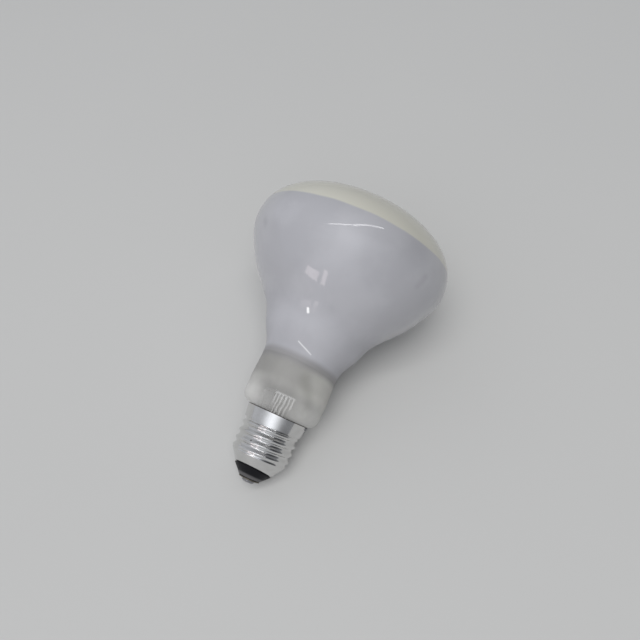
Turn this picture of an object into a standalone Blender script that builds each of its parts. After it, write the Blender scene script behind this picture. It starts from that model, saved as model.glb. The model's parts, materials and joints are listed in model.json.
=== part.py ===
"""Incandescent flood bulb with a bulged reflector and a medium screw cap, lying on its side.

The lamp is modelled upright on its own axis: height 0 is the tip of the centre contact and
+Z runs up through the cap and the neck to the face. An empty then tips it over until the
cap's thread and the widest part of the bulb both touch the floor.
"""

import math

import bmesh
import bpy
import numpy as np
from mathutils import Vector

MM = 0.001
COLLECTION = "flood_bulb"

# Driving dimensions. Heights are lengths along the axis, stacked from the contact upwards.

SIDES = 32  # facets around the large turned pieces, one of them facing the floor
SMALL_SIDES = 16  # facets around the small ones
DRILL_SIDES = 12  # facets around a drilled hole
GAP = 0.3 * MM  # clearance between pieces that touch
OVERSHOOT = 1.0 * MM  # by which a cutter reaches past what it cuts

CAP_PITCH = 25.4 / 7 * MM  # seven turns to the inch
CAP_CREST_RADIUS = 13.15 * MM
CAP_THREAD_DEPTH = 1.0 * MM
CAP_WALL = 0.4 * MM
CAP_RIM_RADIUS = 8.6 * MM  # lower edge, crimped round the glass insulator
CAP_CONE_LENGTH = 5.7 * MM
CAP_THREAD_LENGTH = 14.2 * MM
CAP_COLLAR_LENGTH = 5.8 * MM
CAP_COLLAR_FOOT_RADIUS = 13.3 * MM
CAP_COLLAR_RADIUS = 14.2 * MM
CAP_THREAD_FADE = 1.6 * MM  # run-out at each end of the thread
CAP_RINGS_PER_TURN = 6
CREST_HEIGHT_ABOVE_THREAD_FOOT = 3.4 * MM  # of the crest on the side that faces the floor

SOLDER_HEIGHT = 1.2 * MM
SOLDER_RADIUS = 3.0 * MM
SOLDER_FLAT_RADIUS = 1.6 * MM
EYELET_RADIUS = 4.8 * MM
EYELET_THICKNESS = 0.4 * MM
EYELET_TUBE_RADIUS = 1.5 * MM
EYELET_TUBE_LENGTH = 3.2 * MM
INSULATOR_CONE_LENGTH = 3.6 * MM
INSULATOR_EDGE_RADIUS = 8.35 * MM
INSULATOR_PLUG_LENGTH = 3.2 * MM
INSULATOR_DISH_WALL = 1.6 * MM

GLASS_WALL = 0.9 * MM
SEAL_RADIUS = 10.8 * MM  # lower lip of the bulb, melted to the stem's flare
SEAL_DROP = 6.3 * MM  # from the collar's rim down to that lip
MOUTH_CLEARANCE = 0.5 * MM  # between the bulb and the collar's rim round it
SHOULDER_LENGTH = 5.0 * MM
NECK_RADIUS = 18.1 * MM
NECK_LENGTH = 9.5 * MM
WAIST_RADIUS = 17.8 * MM
WAIST_LENGTH = 8.0 * MM
THROAT_RADIUS = 18.7 * MM
THROAT_LENGTH = 6.0 * MM
BULGE_RADIUS = 22.4 * MM  # the step that gives a bulged reflector its name
BULGE_LENGTH = 7.0 * MM
BOWL_FOOT_RADIUS = 25.2 * MM
BOWL_FOOT_LENGTH = 7.0 * MM
BOWL_RADIUS = 37.5 * MM
BOWL_LENGTH = 15.3 * MM
RIM_RADIUS = 42.5 * MM
RIM_LENGTH = 8.0 * MM
HEAD_RADIUS = 46.9 * MM
HEAD_LENGTH = 12.6 * MM
FACE_DEPTH = 27.3 * MM  # from the widest ring to the middle of the face
FACE_ROUND = 0.84  # exponents of the face's superellipse, 1 for a plain ellipse
FACE_FLAT = 0.88
RING_STEP = 3.4 * MM  # height of the bulb's facets, about
SHOULDER_RINGS = 3
FACE_RINGS = 8

STEM_TUBE_RADIUS = 4.1 * MM
STEM_BORE_RADIUS = 3.05 * MM
STEM_FLARE_LENGTH = 6.0 * MM
STEM_TUBE_LENGTH = 2.6 * MM
STEM_PINCH_LENGTH = 3.6 * MM  # the round tube flattens into the press over this
STEM_PRESS_LENGTH = 3.9 * MM
STEM_PRESS_WIDTH = 10.4 * MM
STEM_PRESS_THICKNESS = 3.8 * MM
STEM_POINTS = 20

EXHAUST_RADIUS = 1.85 * MM
EXHAUST_BORE_RADIUS = 1.25 * MM
EXHAUST_TIP_HEIGHT = 13.5 * MM
EXHAUST_TIP_LENGTH = 3.0 * MM

LEAD_RADIUS = 0.35 * MM
LEAD_SPACING = 6.4 * MM
LEAD_POCKET_DEPTH = 2.0 * MM  # below the press's top, where inner and outer leads meet
LEAD_STRAIGHT = 3.0 * MM
FILAMENT_HEIGHT = 88.0 * MM
FILAMENT_LENGTH = 20.0 * MM
FILAMENT_TURNS = 10
FILAMENT_COIL_RADIUS = 0.9 * MM
FILAMENT_WIRE_RADIUS = 0.25 * MM
FILAMENT_LEG = 1.6 * MM
FILAMENT_POINTS_PER_TURN = 6

OUTER_LEAD_RADIUS = 0.2 * MM
SIDE_LEAD_BEND = 2.0 * MM  # above the flare's foot, where the side wire turns outwards
CEMENT_LENGTH = 3.2 * MM
CEMENT_TOP_DROP = 2.0 * MM  # from the collar's rim down to the cement

SIDE_SOLDER_WIDTH = 1.4 * MM
SIDE_SOLDER_DEPTH = 1.2 * MM
SIDE_SOLDER_LENGTH = 1.5 * MM

# Places that follow from them.

EYELET_FOOT = SOLDER_HEIGHT + GAP
INSULATOR_FOOT = EYELET_FOOT + EYELET_THICKNESS + GAP
INSULATOR_EDGE = INSULATOR_FOOT + INSULATOR_CONE_LENGTH
CAP_FOOT = INSULATOR_EDGE + GAP
THREAD_FOOT = CAP_FOOT + CAP_CONE_LENGTH
THREAD_TOP = THREAD_FOOT + CAP_THREAD_LENGTH
CAP_TOP = THREAD_TOP + CAP_COLLAR_LENGTH
MOUTH_RADIUS = CAP_COLLAR_RADIUS - CAP_WALL - MOUTH_CLEARANCE
SEAL_FOOT = CAP_TOP - SEAL_DROP
NECK_FOOT = CAP_TOP + SHOULDER_LENGTH
STEM_BORE_TOP = SEAL_FOOT + STEM_FLARE_LENGTH + STEM_TUBE_LENGTH
PRESS_FOOT = STEM_BORE_TOP + STEM_PINCH_LENGTH
PRESS_TOP = PRESS_FOOT + STEM_PRESS_LENGTH
LEAD_JOINT = PRESS_TOP - LEAD_POCKET_DEPTH
OUTER_LEAD_OFFSET = EXHAUST_RADIUS + 1.5 * GAP + OUTER_LEAD_RADIUS

FLOORWARD = 0.0  # direction round the axis that ends up facing the floor


def smooth_step(t):
    """Ease from 0 to 1 as t runs from 0 to 1, flat at both ends."""
    t = min(max(t, 0.0), 1.0)
    return t * t * (3 - 2 * t)


def blown_curve(stations, step):
    """Smooth curve through (height, radius) stations, level at both ends."""
    heights, radii = (np.array(column) for column in zip(*stations))
    steps = np.diff(heights)
    slopes = np.diff(radii) / steps
    count = len(heights)
    system = np.zeros((count, count))
    right = np.zeros(count)
    system[0, :2] = 2 * steps[0], steps[0]
    right[0] = 6 * slopes[0]
    system[-1, -2:] = steps[-1], 2 * steps[-1]
    right[-1] = -6 * slopes[-1]
    for i in range(1, count - 1):
        system[i, i - 1 : i + 2] = steps[i - 1], 2 * (steps[i - 1] + steps[i]), steps[i]
        right[i] = 6 * (slopes[i] - slopes[i - 1])
    bends = np.linalg.solve(system, right)
    points = []
    for i in range(count - 1):
        samples = max(round(steps[i] / step), 2)
        for t in np.linspace(0, steps[i], samples, endpoint=False):
            left = (2 * bends[i] + bends[i + 1]) * steps[i] / 6
            radius = radii[i] + t * (slopes[i] - left) + t * t * bends[i] / 2
            radius += t**3 * (bends[i + 1] - bends[i]) / (6 * steps[i])
            points.append((heights[i] + t, radius))
    return points


def bulb_stations():
    """Stations of the blown outline from the top of the shoulder to the widest ring."""
    bands = [
        (NECK_LENGTH, NECK_RADIUS),
        (WAIST_LENGTH, WAIST_RADIUS),
        (THROAT_LENGTH, THROAT_RADIUS),
        (BULGE_LENGTH, BULGE_RADIUS),
        (BOWL_FOOT_LENGTH, BOWL_FOOT_RADIUS),
        (BOWL_LENGTH, BOWL_RADIUS),
        (RIM_LENGTH, RIM_RADIUS),
        (HEAD_LENGTH, HEAD_RADIUS),
    ]
    height = NECK_FOOT
    stations = [(height, NECK_RADIUS)]
    for length, radius in bands:
        height += length
        stations.append((height, radius))
    return stations


def bulb_outline():
    """Outer outline of the glass bulb, (radius, height) from the face down to the seal."""
    stations = bulb_stations()
    widest = stations[-1][0]
    outline = []
    for turn in np.linspace(math.pi / 2, 0, FACE_RINGS, endpoint=False):
        radius = HEAD_RADIUS * max(math.cos(turn), 0.0) ** FACE_ROUND
        outline.append((radius, widest + FACE_DEPTH * math.sin(turn) ** FACE_FLAT))
    outline[0] = (0.0, widest + FACE_DEPTH)
    outline.append((HEAD_RADIUS, widest))
    for height, radius in reversed(blown_curve(stations, RING_STEP)):
        outline.append((radius, height))
    for turn in np.linspace(0, math.pi / 2, SHOULDER_RINGS + 1)[1:]:
        radius = MOUTH_RADIUS + (NECK_RADIUS - MOUTH_RADIUS) * math.cos(turn)
        outline.append((radius, NECK_FOOT - SHOULDER_LENGTH * math.sin(turn)))
    outline.append((seal_taper(SEAL_FOOT + SEAL_DROP / 2), SEAL_FOOT + SEAL_DROP / 2))
    outline.append((SEAL_RADIUS, SEAL_FOOT))
    return outline


def seal_taper(height):
    """Outer radius of the bulb inside the cap."""
    share = (height - SEAL_FOOT) / SEAL_DROP
    return SEAL_RADIUS + (MOUTH_RADIUS - SEAL_RADIUS) * share


def cap_radius(height):
    """Outer radius of the screw shell, crests included, before its thread is rolled."""
    if height < THREAD_FOOT:
        share = (height - CAP_FOOT) / CAP_CONE_LENGTH
        return CAP_RIM_RADIUS + (CAP_CREST_RADIUS - CAP_THREAD_DEPTH / 2 - CAP_RIM_RADIUS) * share
    if height < THREAD_TOP:
        return CAP_CREST_RADIUS - CAP_THREAD_DEPTH / 2
    share = (height - THREAD_TOP) / CAP_COLLAR_LENGTH
    return CAP_COLLAR_FOOT_RADIUS + (CAP_COLLAR_RADIUS - CAP_COLLAR_FOOT_RADIUS) * share


def cap_bore(height):
    """Radius that is free inside the screw shell, below its collar's rim."""
    return cap_radius(height) - CAP_WALL - GAP


def thread_wave(height, angle):
    """Radial push of the rolled right-hand thread on the shell's wall."""
    fade = smooth_step((height - THREAD_FOOT) / CAP_THREAD_FADE)
    fade *= smooth_step((THREAD_TOP - height) / CAP_THREAD_FADE)
    crest = THREAD_FOOT + CREST_HEIGHT_ABOVE_THREAD_FOOT
    turns = (height - crest) / CAP_PITCH - (angle - FLOORWARD) / (2 * math.pi)
    return fade * CAP_THREAD_DEPTH / 2 * math.cos(2 * math.pi * turns)


def stem_section(height):
    """Half thickness, half width and squareness of the glass stem at a height."""
    flare_top = SEAL_FOOT + STEM_FLARE_LENGTH
    rim = SEAL_RADIUS - GLASS_WALL - 2 * GAP
    if height < flare_top:
        share = (flare_top - height) / STEM_FLARE_LENGTH
        radius = STEM_TUBE_RADIUS + (rim - STEM_TUBE_RADIUS) * share**2.2
        return radius, radius, 2.0
    share = smooth_step((height - STEM_BORE_TOP) / STEM_PINCH_LENGTH)
    thickness = STEM_TUBE_RADIUS + (STEM_PRESS_THICKNESS / 2 - STEM_TUBE_RADIUS) * share
    width = STEM_TUBE_RADIUS + (STEM_PRESS_WIDTH / 2 - STEM_TUBE_RADIUS) * share
    return thickness, width, 2.0 + share


def surface(name, colour, roughness, metallic=0.0):
    """Principled material with the sub-part's colour and finish."""
    material = bpy.data.materials.new(name)
    material.use_nodes = True
    shader = material.node_tree.nodes["Principled BSDF"]
    shader.inputs["Base Color"].default_value = (*colour, 1.0)
    shader.inputs["Roughness"].default_value = roughness
    shader.inputs["Metallic"].default_value = metallic
    return material


def add(name, data, where, axis, material=None):
    """Object in a collection, carried by the lamp's axis."""
    piece = bpy.data.objects.new(name, data)
    where.objects.link(piece)
    piece.parent = axis
    if material:
        data.materials.append(material)
    return piece


def turned(name, outline, where, axis, material=None, closed=False, sides=SIDES):
    """Profile of (radius, height) points, top to bottom on its outer side, turned round Z.

    The flats of the turned facets, and not their corners, lie at the profile's radius.
    """
    corner = 1 / math.cos(math.pi / sides)
    mesh = bpy.data.meshes.new(name)
    edges = [(i, i + 1) for i in range(len(outline) - 1)]
    if closed:
        edges.append((len(outline) - 1, 0))
    mesh.from_pydata([(radius * corner, 0, height) for radius, height in outline], edges, [])
    piece = add(name, mesh, where, axis, material)
    piece.rotation_euler.z = FLOORWARD + math.pi / sides
    screw = piece.modifiers.new("turn", "SCREW")
    screw.steps = sides
    screw.render_steps = sides
    screw.use_merge_vertices = True
    screw.merge_threshold = 0.00001
    screw.use_smooth_shade = True
    return piece


def wire(name, points, radius, where, axis, material, roundness=2):
    """Round wire along points, with capped ends."""
    curve = bpy.data.curves.new(name, "CURVE")
    curve.dimensions = "3D"
    curve.bevel_depth = radius
    curve.bevel_resolution = roundness
    curve.use_fill_caps = True
    spline = curve.splines.new("POLY")
    spline.points.add(len(points) - 1)
    for knot, point in zip(spline.points, points):
        knot.co = (*point, 1.0)
    return add(name, curve, where, axis, material)


def rounded_path(corners, samples):
    """Smooth curve through corner points, for a bent wire."""
    knots = [np.array(corner) for corner in corners]
    knots = [2 * knots[0] - knots[1], *knots, 2 * knots[-1] - knots[-2]]
    path = []
    for before, start, end, after in zip(knots, knots[1:], knots[2:], knots[3:]):
        for t in np.linspace(0, 1, samples, endpoint=False):
            bend = 2 * start + (end - before) * t
            bend += (2 * before - 5 * start + 4 * end - after) * t**2
            bend += (3 * start - before - 3 * end + after) * t**3
            path.append(tuple(bend / 2))
    path.append(tuple(knots[-2]))
    return path


def cut(piece, cutter):
    """Subtract a cutter and keep it out of the render."""
    cutter.hide_render = True
    cutter.display_type = "WIRE"
    boolean = piece.modifiers.new(f"cut_{cutter.name}", "BOOLEAN")
    boolean.operation = "DIFFERENCE"
    boolean.object = cutter


def drill(name, foot, top, radius, where, axis):
    """Round cutter from one point to another."""
    run = Vector(top) - Vector(foot)
    mesh = bpy.data.meshes.new(name)
    shape = bmesh.new()
    bmesh.ops.create_cone(
        shape,
        cap_ends=True,
        segments=DRILL_SIDES,
        radius1=radius,
        radius2=radius,
        depth=run.length,
    )
    shape.to_mesh(mesh)
    shape.free()
    cutter = add(name, mesh, where, axis)
    cutter.location = (Vector(foot) + Vector(top)) / 2
    cutter.rotation_euler = run.to_track_quat("Z", "Y").to_euler()
    return cutter


def block(name, low, high, where, axis):
    """Box between two corners."""
    mesh = bpy.data.meshes.new(name)
    shape = bmesh.new()
    bmesh.ops.create_cube(shape, size=1.0)
    for vertex in shape.verts:
        vertex.co = [(a + b) / 2 + c * (b - a) for a, b, c in zip(low, high, vertex.co)]
    shape.to_mesh(mesh)
    shape.free()
    return add(name, mesh, where, axis)


def evaluated_mesh(piece):
    """Mesh of a piece as its modifiers leave it, in the piece's own space."""
    graph = bpy.context.evaluated_depsgraph_get()
    return bpy.data.meshes.new_from_object(piece.evaluated_get(graph))


def glass_envelope(parts, axis):
    """Blown bulb: one wall from the face to the lip that is sealed to the stem."""
    glass = surface("aluminised_and_frosted_glass", (0.43, 0.44, 0.47), 0.25)
    bulb = turned("glass_envelope", bulb_outline(), parts, axis, glass)
    wall = bulb.modifiers.new("wall", "SOLIDIFY")
    wall.thickness = GLASS_WALL
    wall.offset = -1
    wall.use_even_offset = True
    return bulb


def glass_stem(parts, cutters, axis):
    """Flare, tube and flattened press in one piece, bored from below and for its two wires."""
    glass = surface("lead_glass", (0.62, 0.63, 0.62), 0.08)
    flare_heights = np.linspace(0, STEM_FLARE_LENGTH, 6) + SEAL_FOOT
    pinch_heights = np.linspace(STEM_BORE_TOP, PRESS_FOOT, 4)
    heights = [*flare_heights, *pinch_heights, PRESS_TOP - STEM_PRESS_THICKNESS / 8]
    sections = [(height, *stem_section(height)) for height in heights]
    thickness, width, squareness = stem_section(PRESS_TOP)
    ease = STEM_PRESS_THICKNESS / 8
    sections.append((PRESS_TOP, thickness - ease, width - ease, squareness))

    shape = bmesh.new()
    rings = []
    for height, thick, wide, squareness in sections:
        ring = []
        for turn in np.linspace(0, 2 * math.pi, STEM_POINTS, endpoint=False):
            x, y = math.cos(turn), math.sin(turn)
            power = 2 / squareness
            x = math.copysign(abs(x) ** power, x) * thick
            y = math.copysign(abs(y) ** power, y) * wide
            ring.append(shape.verts.new((x, y, height)))
        rings.append(ring)
    for low, high in zip(rings, rings[1:]):
        for i, j in zip(range(STEM_POINTS), [*range(1, STEM_POINTS), 0]):
            shape.faces.new((low[i], low[j], high[j], high[i]))
    shape.faces.new(rings[0][::-1])
    shape.faces.new(rings[-1])
    for face in shape.faces:
        face.smooth = True
    mesh = bpy.data.meshes.new("glass_stem")
    shape.to_mesh(mesh)
    shape.free()
    mesh.set_sharp_from_angle(angle=math.radians(40))
    stem = add("glass_stem", mesh, parts, axis, glass)

    wall = STEM_TUBE_RADIUS - STEM_BORE_RADIUS
    bore = [(0.0, STEM_BORE_TOP), (STEM_BORE_RADIUS, STEM_BORE_TOP)]
    for height in flare_heights[::-1]:
        bore.append((stem_section(height)[0] - wall, height))
    below = SEAL_FOOT - OVERSHOOT
    bore += [(bore[-1][0] + wall / 2, below), (0.0, below)]
    cut(stem, turned("stem_bore", bore, cutters, axis))
    above = PRESS_TOP + OVERSHOOT
    low = STEM_BORE_TOP - GAP
    for name, side in (("left", 1), ("right", -1)):
        joint = (0, side * LEAD_SPACING / 2, LEAD_JOINT)
        top = (0, side * LEAD_SPACING / 2, above)
        foot = (0, side * OUTER_LEAD_OFFSET, low)
        cut(stem, drill(f"lead_pocket_{name}", joint, top, LEAD_RADIUS + GAP, cutters, axis))
        channel = f"lead_channel_{name}"
        cut(stem, drill(channel, foot, joint, OUTER_LEAD_RADIUS + GAP, cutters, axis))


def exhaust_tube(parts, axis):
    """Glass tube down the middle of the stem, tipped off inside the cap, open at the top."""
    glass = surface("exhaust_glass", (0.62, 0.63, 0.62), 0.08)
    top = STEM_BORE_TOP - GAP
    shoulder = EXHAUST_TIP_HEIGHT + EXHAUST_TIP_LENGTH
    outline = [
        (EXHAUST_RADIUS, top),
        (EXHAUST_RADIUS, shoulder),
        (EXHAUST_RADIUS * 0.62, EXHAUST_TIP_HEIGHT + EXHAUST_TIP_LENGTH / 3),
        (0.0, EXHAUST_TIP_HEIGHT),
        (0.0, EXHAUST_TIP_HEIGHT + EXHAUST_TIP_LENGTH / 2),
        (EXHAUST_BORE_RADIUS, shoulder + EXHAUST_TIP_LENGTH / 3),
        (EXHAUST_BORE_RADIUS, top),
    ]
    turned("exhaust_tube", outline, parts, axis, glass, closed=True, sides=SMALL_SIDES)


def inner_leads(parts, axis):
    """Two nickel wires that stand in the press and carry the filament between their ends."""
    nickel = surface("nickel_wire", (0.55, 0.54, 0.52), 0.3, 1.0)
    reach = FILAMENT_LENGTH / 2 + LEAD_RADIUS + GAP
    for name, side in (("left", 1), ("right", -1)):
        near = side * LEAD_SPACING / 2
        far = side * reach
        corners = [
            (0, near, LEAD_JOINT + GAP),
            (0, near, PRESS_TOP + LEAD_STRAIGHT),
            (0, (near + far) / 2, (PRESS_TOP + FILAMENT_HEIGHT) / 2),
            (0, far, FILAMENT_HEIGHT - 3 * LEAD_STRAIGHT),
            (0, far, FILAMENT_HEIGHT + 2 * LEAD_RADIUS),
        ]
        wire(f"inner_lead_{name}", rounded_path(corners, 3), LEAD_RADIUS, parts, axis, nickel)


def filament(parts, axis):
    """Tungsten coil across the two leads, with a straight leg at each end."""
    tungsten = surface("tungsten_wire", (0.2, 0.2, 0.2), 0.45, 1.0)
    half = FILAMENT_LENGTH / 2
    coil = half - FILAMENT_LEG
    points = [(0, -half, FILAMENT_HEIGHT)]
    count = FILAMENT_TURNS * FILAMENT_POINTS_PER_TURN
    for i in range(count + 1):
        turn = 2 * math.pi * i / FILAMENT_POINTS_PER_TURN
        x = FILAMENT_COIL_RADIUS * math.cos(turn)
        z = FILAMENT_COIL_RADIUS * math.sin(turn)
        points.append((x, coil * (2 * i / count - 1), FILAMENT_HEIGHT + z))
    points.append((0, half, FILAMENT_HEIGHT))
    wire("filament", points, FILAMENT_WIRE_RADIUS, parts, axis, tungsten, roundness=1)


def screw_shell(parts, cutters, axis):
    """Aluminium cap: cone, rolled thread and collar in one sheet, notched for the side wire."""
    aluminium = surface("bright_aluminium", (0.8, 0.8, 0.8), 0.25, 1.0)
    thread_rings = round(CAP_THREAD_LENGTH / CAP_PITCH * CAP_RINGS_PER_TURN)
    heights = [CAP_TOP, (CAP_TOP + THREAD_TOP) / 2]
    heights += list(np.linspace(THREAD_TOP, THREAD_FOOT, thread_rings + 1))
    heights += [(THREAD_FOOT + CAP_FOOT) / 2, CAP_FOOT]
    outline = [(cap_radius(height), height) for height in heights]
    blank = turned("shell_blank", outline, cutters, axis)
    mesh = evaluated_mesh(blank)
    mesh.name = "screw_shell"
    phase = blank.rotation_euler.z
    bpy.data.objects.remove(blank)
    for vertex in mesh.vertices:
        x, y, height = vertex.co
        radius = math.hypot(x, y)
        push = thread_wave(height, math.atan2(y, x) + phase)
        vertex.co = (x * (1 + push / radius), y * (1 + push / radius), height)
    shell = add("screw_shell", mesh, parts, axis, aluminium)
    shell.rotation_euler.z = phase
    wall = shell.modifiers.new("wall", "SOLIDIFY")
    wall.thickness = CAP_WALL
    wall.offset = -1
    wall.use_even_offset = True

    half = SIDE_SOLDER_WIDTH / 2 + GAP
    low = (-half, -CAP_COLLAR_RADIUS - OVERSHOOT, CAP_TOP - SIDE_SOLDER_LENGTH - GAP)
    high = (half, -MOUTH_RADIUS + OVERSHOOT, CAP_TOP + OVERSHOOT)
    cut(shell, block("side_notch", low, high, cutters, axis))
    return shell


def glass_insulator(parts, axis):
    """Black glass button moulded in the mouth of the shell, dished inside, with an eye."""
    vitrite = surface("black_glass", (0.008, 0.008, 0.012), 0.25)
    hole = EYELET_TUBE_RADIUS + GAP
    plug_top = CAP_FOOT + INSULATOR_PLUG_LENGTH
    neck = cap_bore(CAP_FOOT) - GAP
    bottom = EYELET_RADIUS + GAP
    outline = [
        (cap_bore(plug_top) - GAP, plug_top),
        (neck, CAP_FOOT),
        (neck, INSULATOR_EDGE),
        (INSULATOR_EDGE_RADIUS, INSULATOR_EDGE),
        (INSULATOR_EDGE_RADIUS, INSULATOR_EDGE - GAP),
        (bottom + GAP, INSULATOR_FOOT + GAP),
        (bottom, INSULATOR_FOOT),
        (hole, INSULATOR_FOOT),
        (hole, INSULATOR_FOOT + EYELET_TUBE_LENGTH - 2 * GAP),
        (cap_bore(plug_top) - INSULATOR_DISH_WALL, plug_top),
    ]
    turned("glass_insulator", outline, parts, axis, vitrite, closed=True)


def contact_eyelet(parts, axis):
    """Brass eyelet: a flange under the insulator and a tube up through its eye."""
    brass = surface("brass", (0.62, 0.5, 0.3), 0.35, 1.0)
    wall = EYELET_THICKNESS
    top = EYELET_FOOT + EYELET_TUBE_LENGTH
    outline = [
        (EYELET_TUBE_RADIUS, top),
        (EYELET_TUBE_RADIUS, EYELET_FOOT + wall),
        (EYELET_RADIUS, EYELET_FOOT + wall),
        (EYELET_RADIUS, EYELET_FOOT),
        (EYELET_TUBE_RADIUS - wall, EYELET_FOOT),
        (EYELET_TUBE_RADIUS - wall, top),
    ]
    turned("contact_eyelet", outline, parts, axis, brass, closed=True, sides=SMALL_SIDES)


def center_solder(parts, axis):
    """Drop of solder over the eyelet, worn flat at the tip."""
    solder = surface("solder", (0.6, 0.6, 0.62), 0.35, 1.0)
    outline = [(0.0, SOLDER_HEIGHT), (SOLDER_RADIUS, SOLDER_HEIGHT)]
    for turn in np.linspace(0, math.pi / 2, 5)[1:]:
        radius = SOLDER_FLAT_RADIUS + (SOLDER_RADIUS - SOLDER_FLAT_RADIUS) * math.cos(turn)
        outline.append((radius, SOLDER_HEIGHT * (1 - math.sin(turn))))
    outline.append((0.0, 0.0))
    turned("center_solder", outline, parts, axis, solder, sides=SMALL_SIDES)


def side_solder(parts, axis):
    """Bead of solder in the collar's notch, over the end of the side wire."""
    solder = surface("side_solder_metal", (0.5, 0.5, 0.52), 0.4, 1.0)
    mesh = bpy.data.meshes.new("side_solder")
    shape = bmesh.new()
    bmesh.ops.create_uvsphere(shape, u_segments=12, v_segments=8, radius=0.5)
    sizes = (SIDE_SOLDER_WIDTH, SIDE_SOLDER_DEPTH, SIDE_SOLDER_LENGTH)
    for vertex in shape.verts:
        vertex.co = [c * size for c, size in zip(vertex.co, sizes)]
    for face in shape.faces:
        face.smooth = True
    shape.to_mesh(mesh)
    shape.free()
    bead = add("side_solder", mesh, parts, axis, solder)
    glass = MOUTH_RADIUS + GAP
    bead.location = (0, -glass - SIDE_SOLDER_DEPTH / 2, CAP_TOP - SIDE_SOLDER_LENGTH / 2)


def basing_cement(parts, cutters, axis):
    """Ring of cement between the collar and the bulb, with a groove for the side wire."""
    cement = surface("basing_cement", (0.45, 0.4, 0.33), 0.9)
    top = CAP_TOP - CEMENT_TOP_DROP
    foot = top - CEMENT_LENGTH
    outline = [
        (cap_bore(top), top),
        (cap_bore(foot), foot),
        (seal_taper(foot) + GAP, foot),
        (seal_taper(top) + GAP, top),
    ]
    ring = turned("basing_cement", outline, parts, axis, cement, closed=True)
    half = OUTER_LEAD_RADIUS + GAP
    outside = max(cap_bore(foot), cap_bore(top)) + OVERSHOOT
    low = (-half, -outside, foot - OVERSHOOT)
    high = (half, -SEAL_RADIUS + OVERSHOOT, top + OVERSHOOT)
    cut(ring, block("wire_groove", low, high, cutters, axis))


def outer_leads(parts, axis):
    """Copper wires down from the leads' joints: one to the eyelet, one to the side bead."""
    copper = surface("copper_wire", (0.6, 0.3, 0.2), 0.35, 1.0)
    below_tip = EXHAUST_TIP_HEIGHT - 3 * OUTER_LEAD_RADIUS - GAP
    near = LEAD_SPACING / 2
    beside = OUTER_LEAD_OFFSET
    corners = [
        (0, near, LEAD_JOINT),
        (0, beside, STEM_BORE_TOP - GAP),
        (0, beside, STEM_BORE_TOP - LEAD_STRAIGHT),
        (0, beside, EXHAUST_TIP_HEIGHT + EXHAUST_TIP_LENGTH),
        (0, beside / 2, below_tip),
        (0, 0, EYELET_FOOT + EYELET_TUBE_LENGTH),
        (0, 0, SOLDER_HEIGHT + GAP),
    ]
    path = rounded_path(corners, 3)
    wire("center_lead", path, OUTER_LEAD_RADIUS, parts, axis, copper, roundness=1)

    clear = GAP + OUTER_LEAD_RADIUS
    groove_foot = CAP_TOP - CEMENT_TOP_DROP - CEMENT_LENGTH / 2
    groove_top = CAP_TOP - SIDE_SOLDER_LENGTH - GAP
    corners = [
        (0, -near, LEAD_JOINT),
        (0, -beside, STEM_BORE_TOP - GAP),
        (0, -beside, STEM_BORE_TOP - LEAD_STRAIGHT),
        (0, -beside, SEAL_FOOT + SIDE_LEAD_BEND),
        (0, -SEAL_RADIUS + 2 * GLASS_WALL, SEAL_FOOT - 2 * clear),
        (0, -SEAL_RADIUS - clear, SEAL_FOOT - clear),
        (0, -cap_bore(groove_foot) + clear / 2, groove_foot),
        (0, -cap_bore(groove_top) + clear / 2, groove_top),
    ]
    path = rounded_path(corners, 3)
    wire("side_lead", path, OUTER_LEAD_RADIUS, parts, axis, copper, roundness=1)


def points_of(piece):
    """Corners of a turned piece in the lamp's own space."""
    mesh = evaluated_mesh(piece)
    points = np.array([piece.matrix_basis @ vertex.co for vertex in mesh.vertices])
    bpy.data.meshes.remove(mesh)
    return points


def lay_down(axis, bulb, shell):
    """Tip the lamp until bulb and cap both touch the floor, then centre it on the origin."""
    bulb_points = points_of(bulb)
    shell_points = points_of(shell)

    def lowest(points, tilt):
        return (points[:, 2] * math.sin(tilt) - points[:, 0] * math.cos(tilt)).min()

    flat, steep = 0.0, math.pi / 3
    for _ in range(60):
        tilt = (flat + steep) / 2
        if lowest(bulb_points, tilt) < lowest(shell_points, tilt):
            flat = tilt
        else:
            steep = tilt
    forward = np.concatenate([bulb_points, shell_points, np.zeros((1, 3))])
    forward = forward[:, 2] * math.cos(tilt) + forward[:, 0] * math.sin(tilt)
    axis.rotation_euler = (0, math.pi / 2 - tilt, 0)
    axis.location = (-(forward.min() + forward.max()) / 2, 0, -lowest(bulb_points, tilt))
    print(f"axis tilted {math.degrees(tilt):.2f} degrees, contact at {tuple(axis.location)}")


def main():
    for old in list(bpy.data.objects):
        bpy.data.objects.remove(old)
    parts = bpy.data.collections.new(COLLECTION)
    cutters = bpy.data.collections.new("cutters")
    for collection in (parts, cutters):
        bpy.context.scene.collection.children.link(collection)
    axis = bpy.data.objects.new("lamp_axis", None)
    parts.objects.link(axis)

    bulb = glass_envelope(parts, axis)
    glass_stem(parts, cutters, axis)
    exhaust_tube(parts, axis)
    inner_leads(parts, axis)
    filament(parts, axis)
    shell = screw_shell(parts, cutters, axis)
    basing_cement(parts, cutters, axis)
    glass_insulator(parts, axis)
    contact_eyelet(parts, axis)
    center_solder(parts, axis)
    side_solder(parts, axis)
    outer_leads(parts, axis)
    lay_down(axis, bulb, shell)


main()
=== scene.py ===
# %% [markdown]
# # A reflector flood bulb lying on a pale surface
# The lamp is one blown glass bulb with three finishes, a bright aluminium screw cap and the
# glass stem that carries the wires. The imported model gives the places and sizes. This scene
# gives each piece a smooth surface and a material made from what the real one is.

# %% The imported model, as a fixed frame
import json
import math

import bmesh
import bpy
import numpy as np
from mathutils import Matrix, Vector


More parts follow.
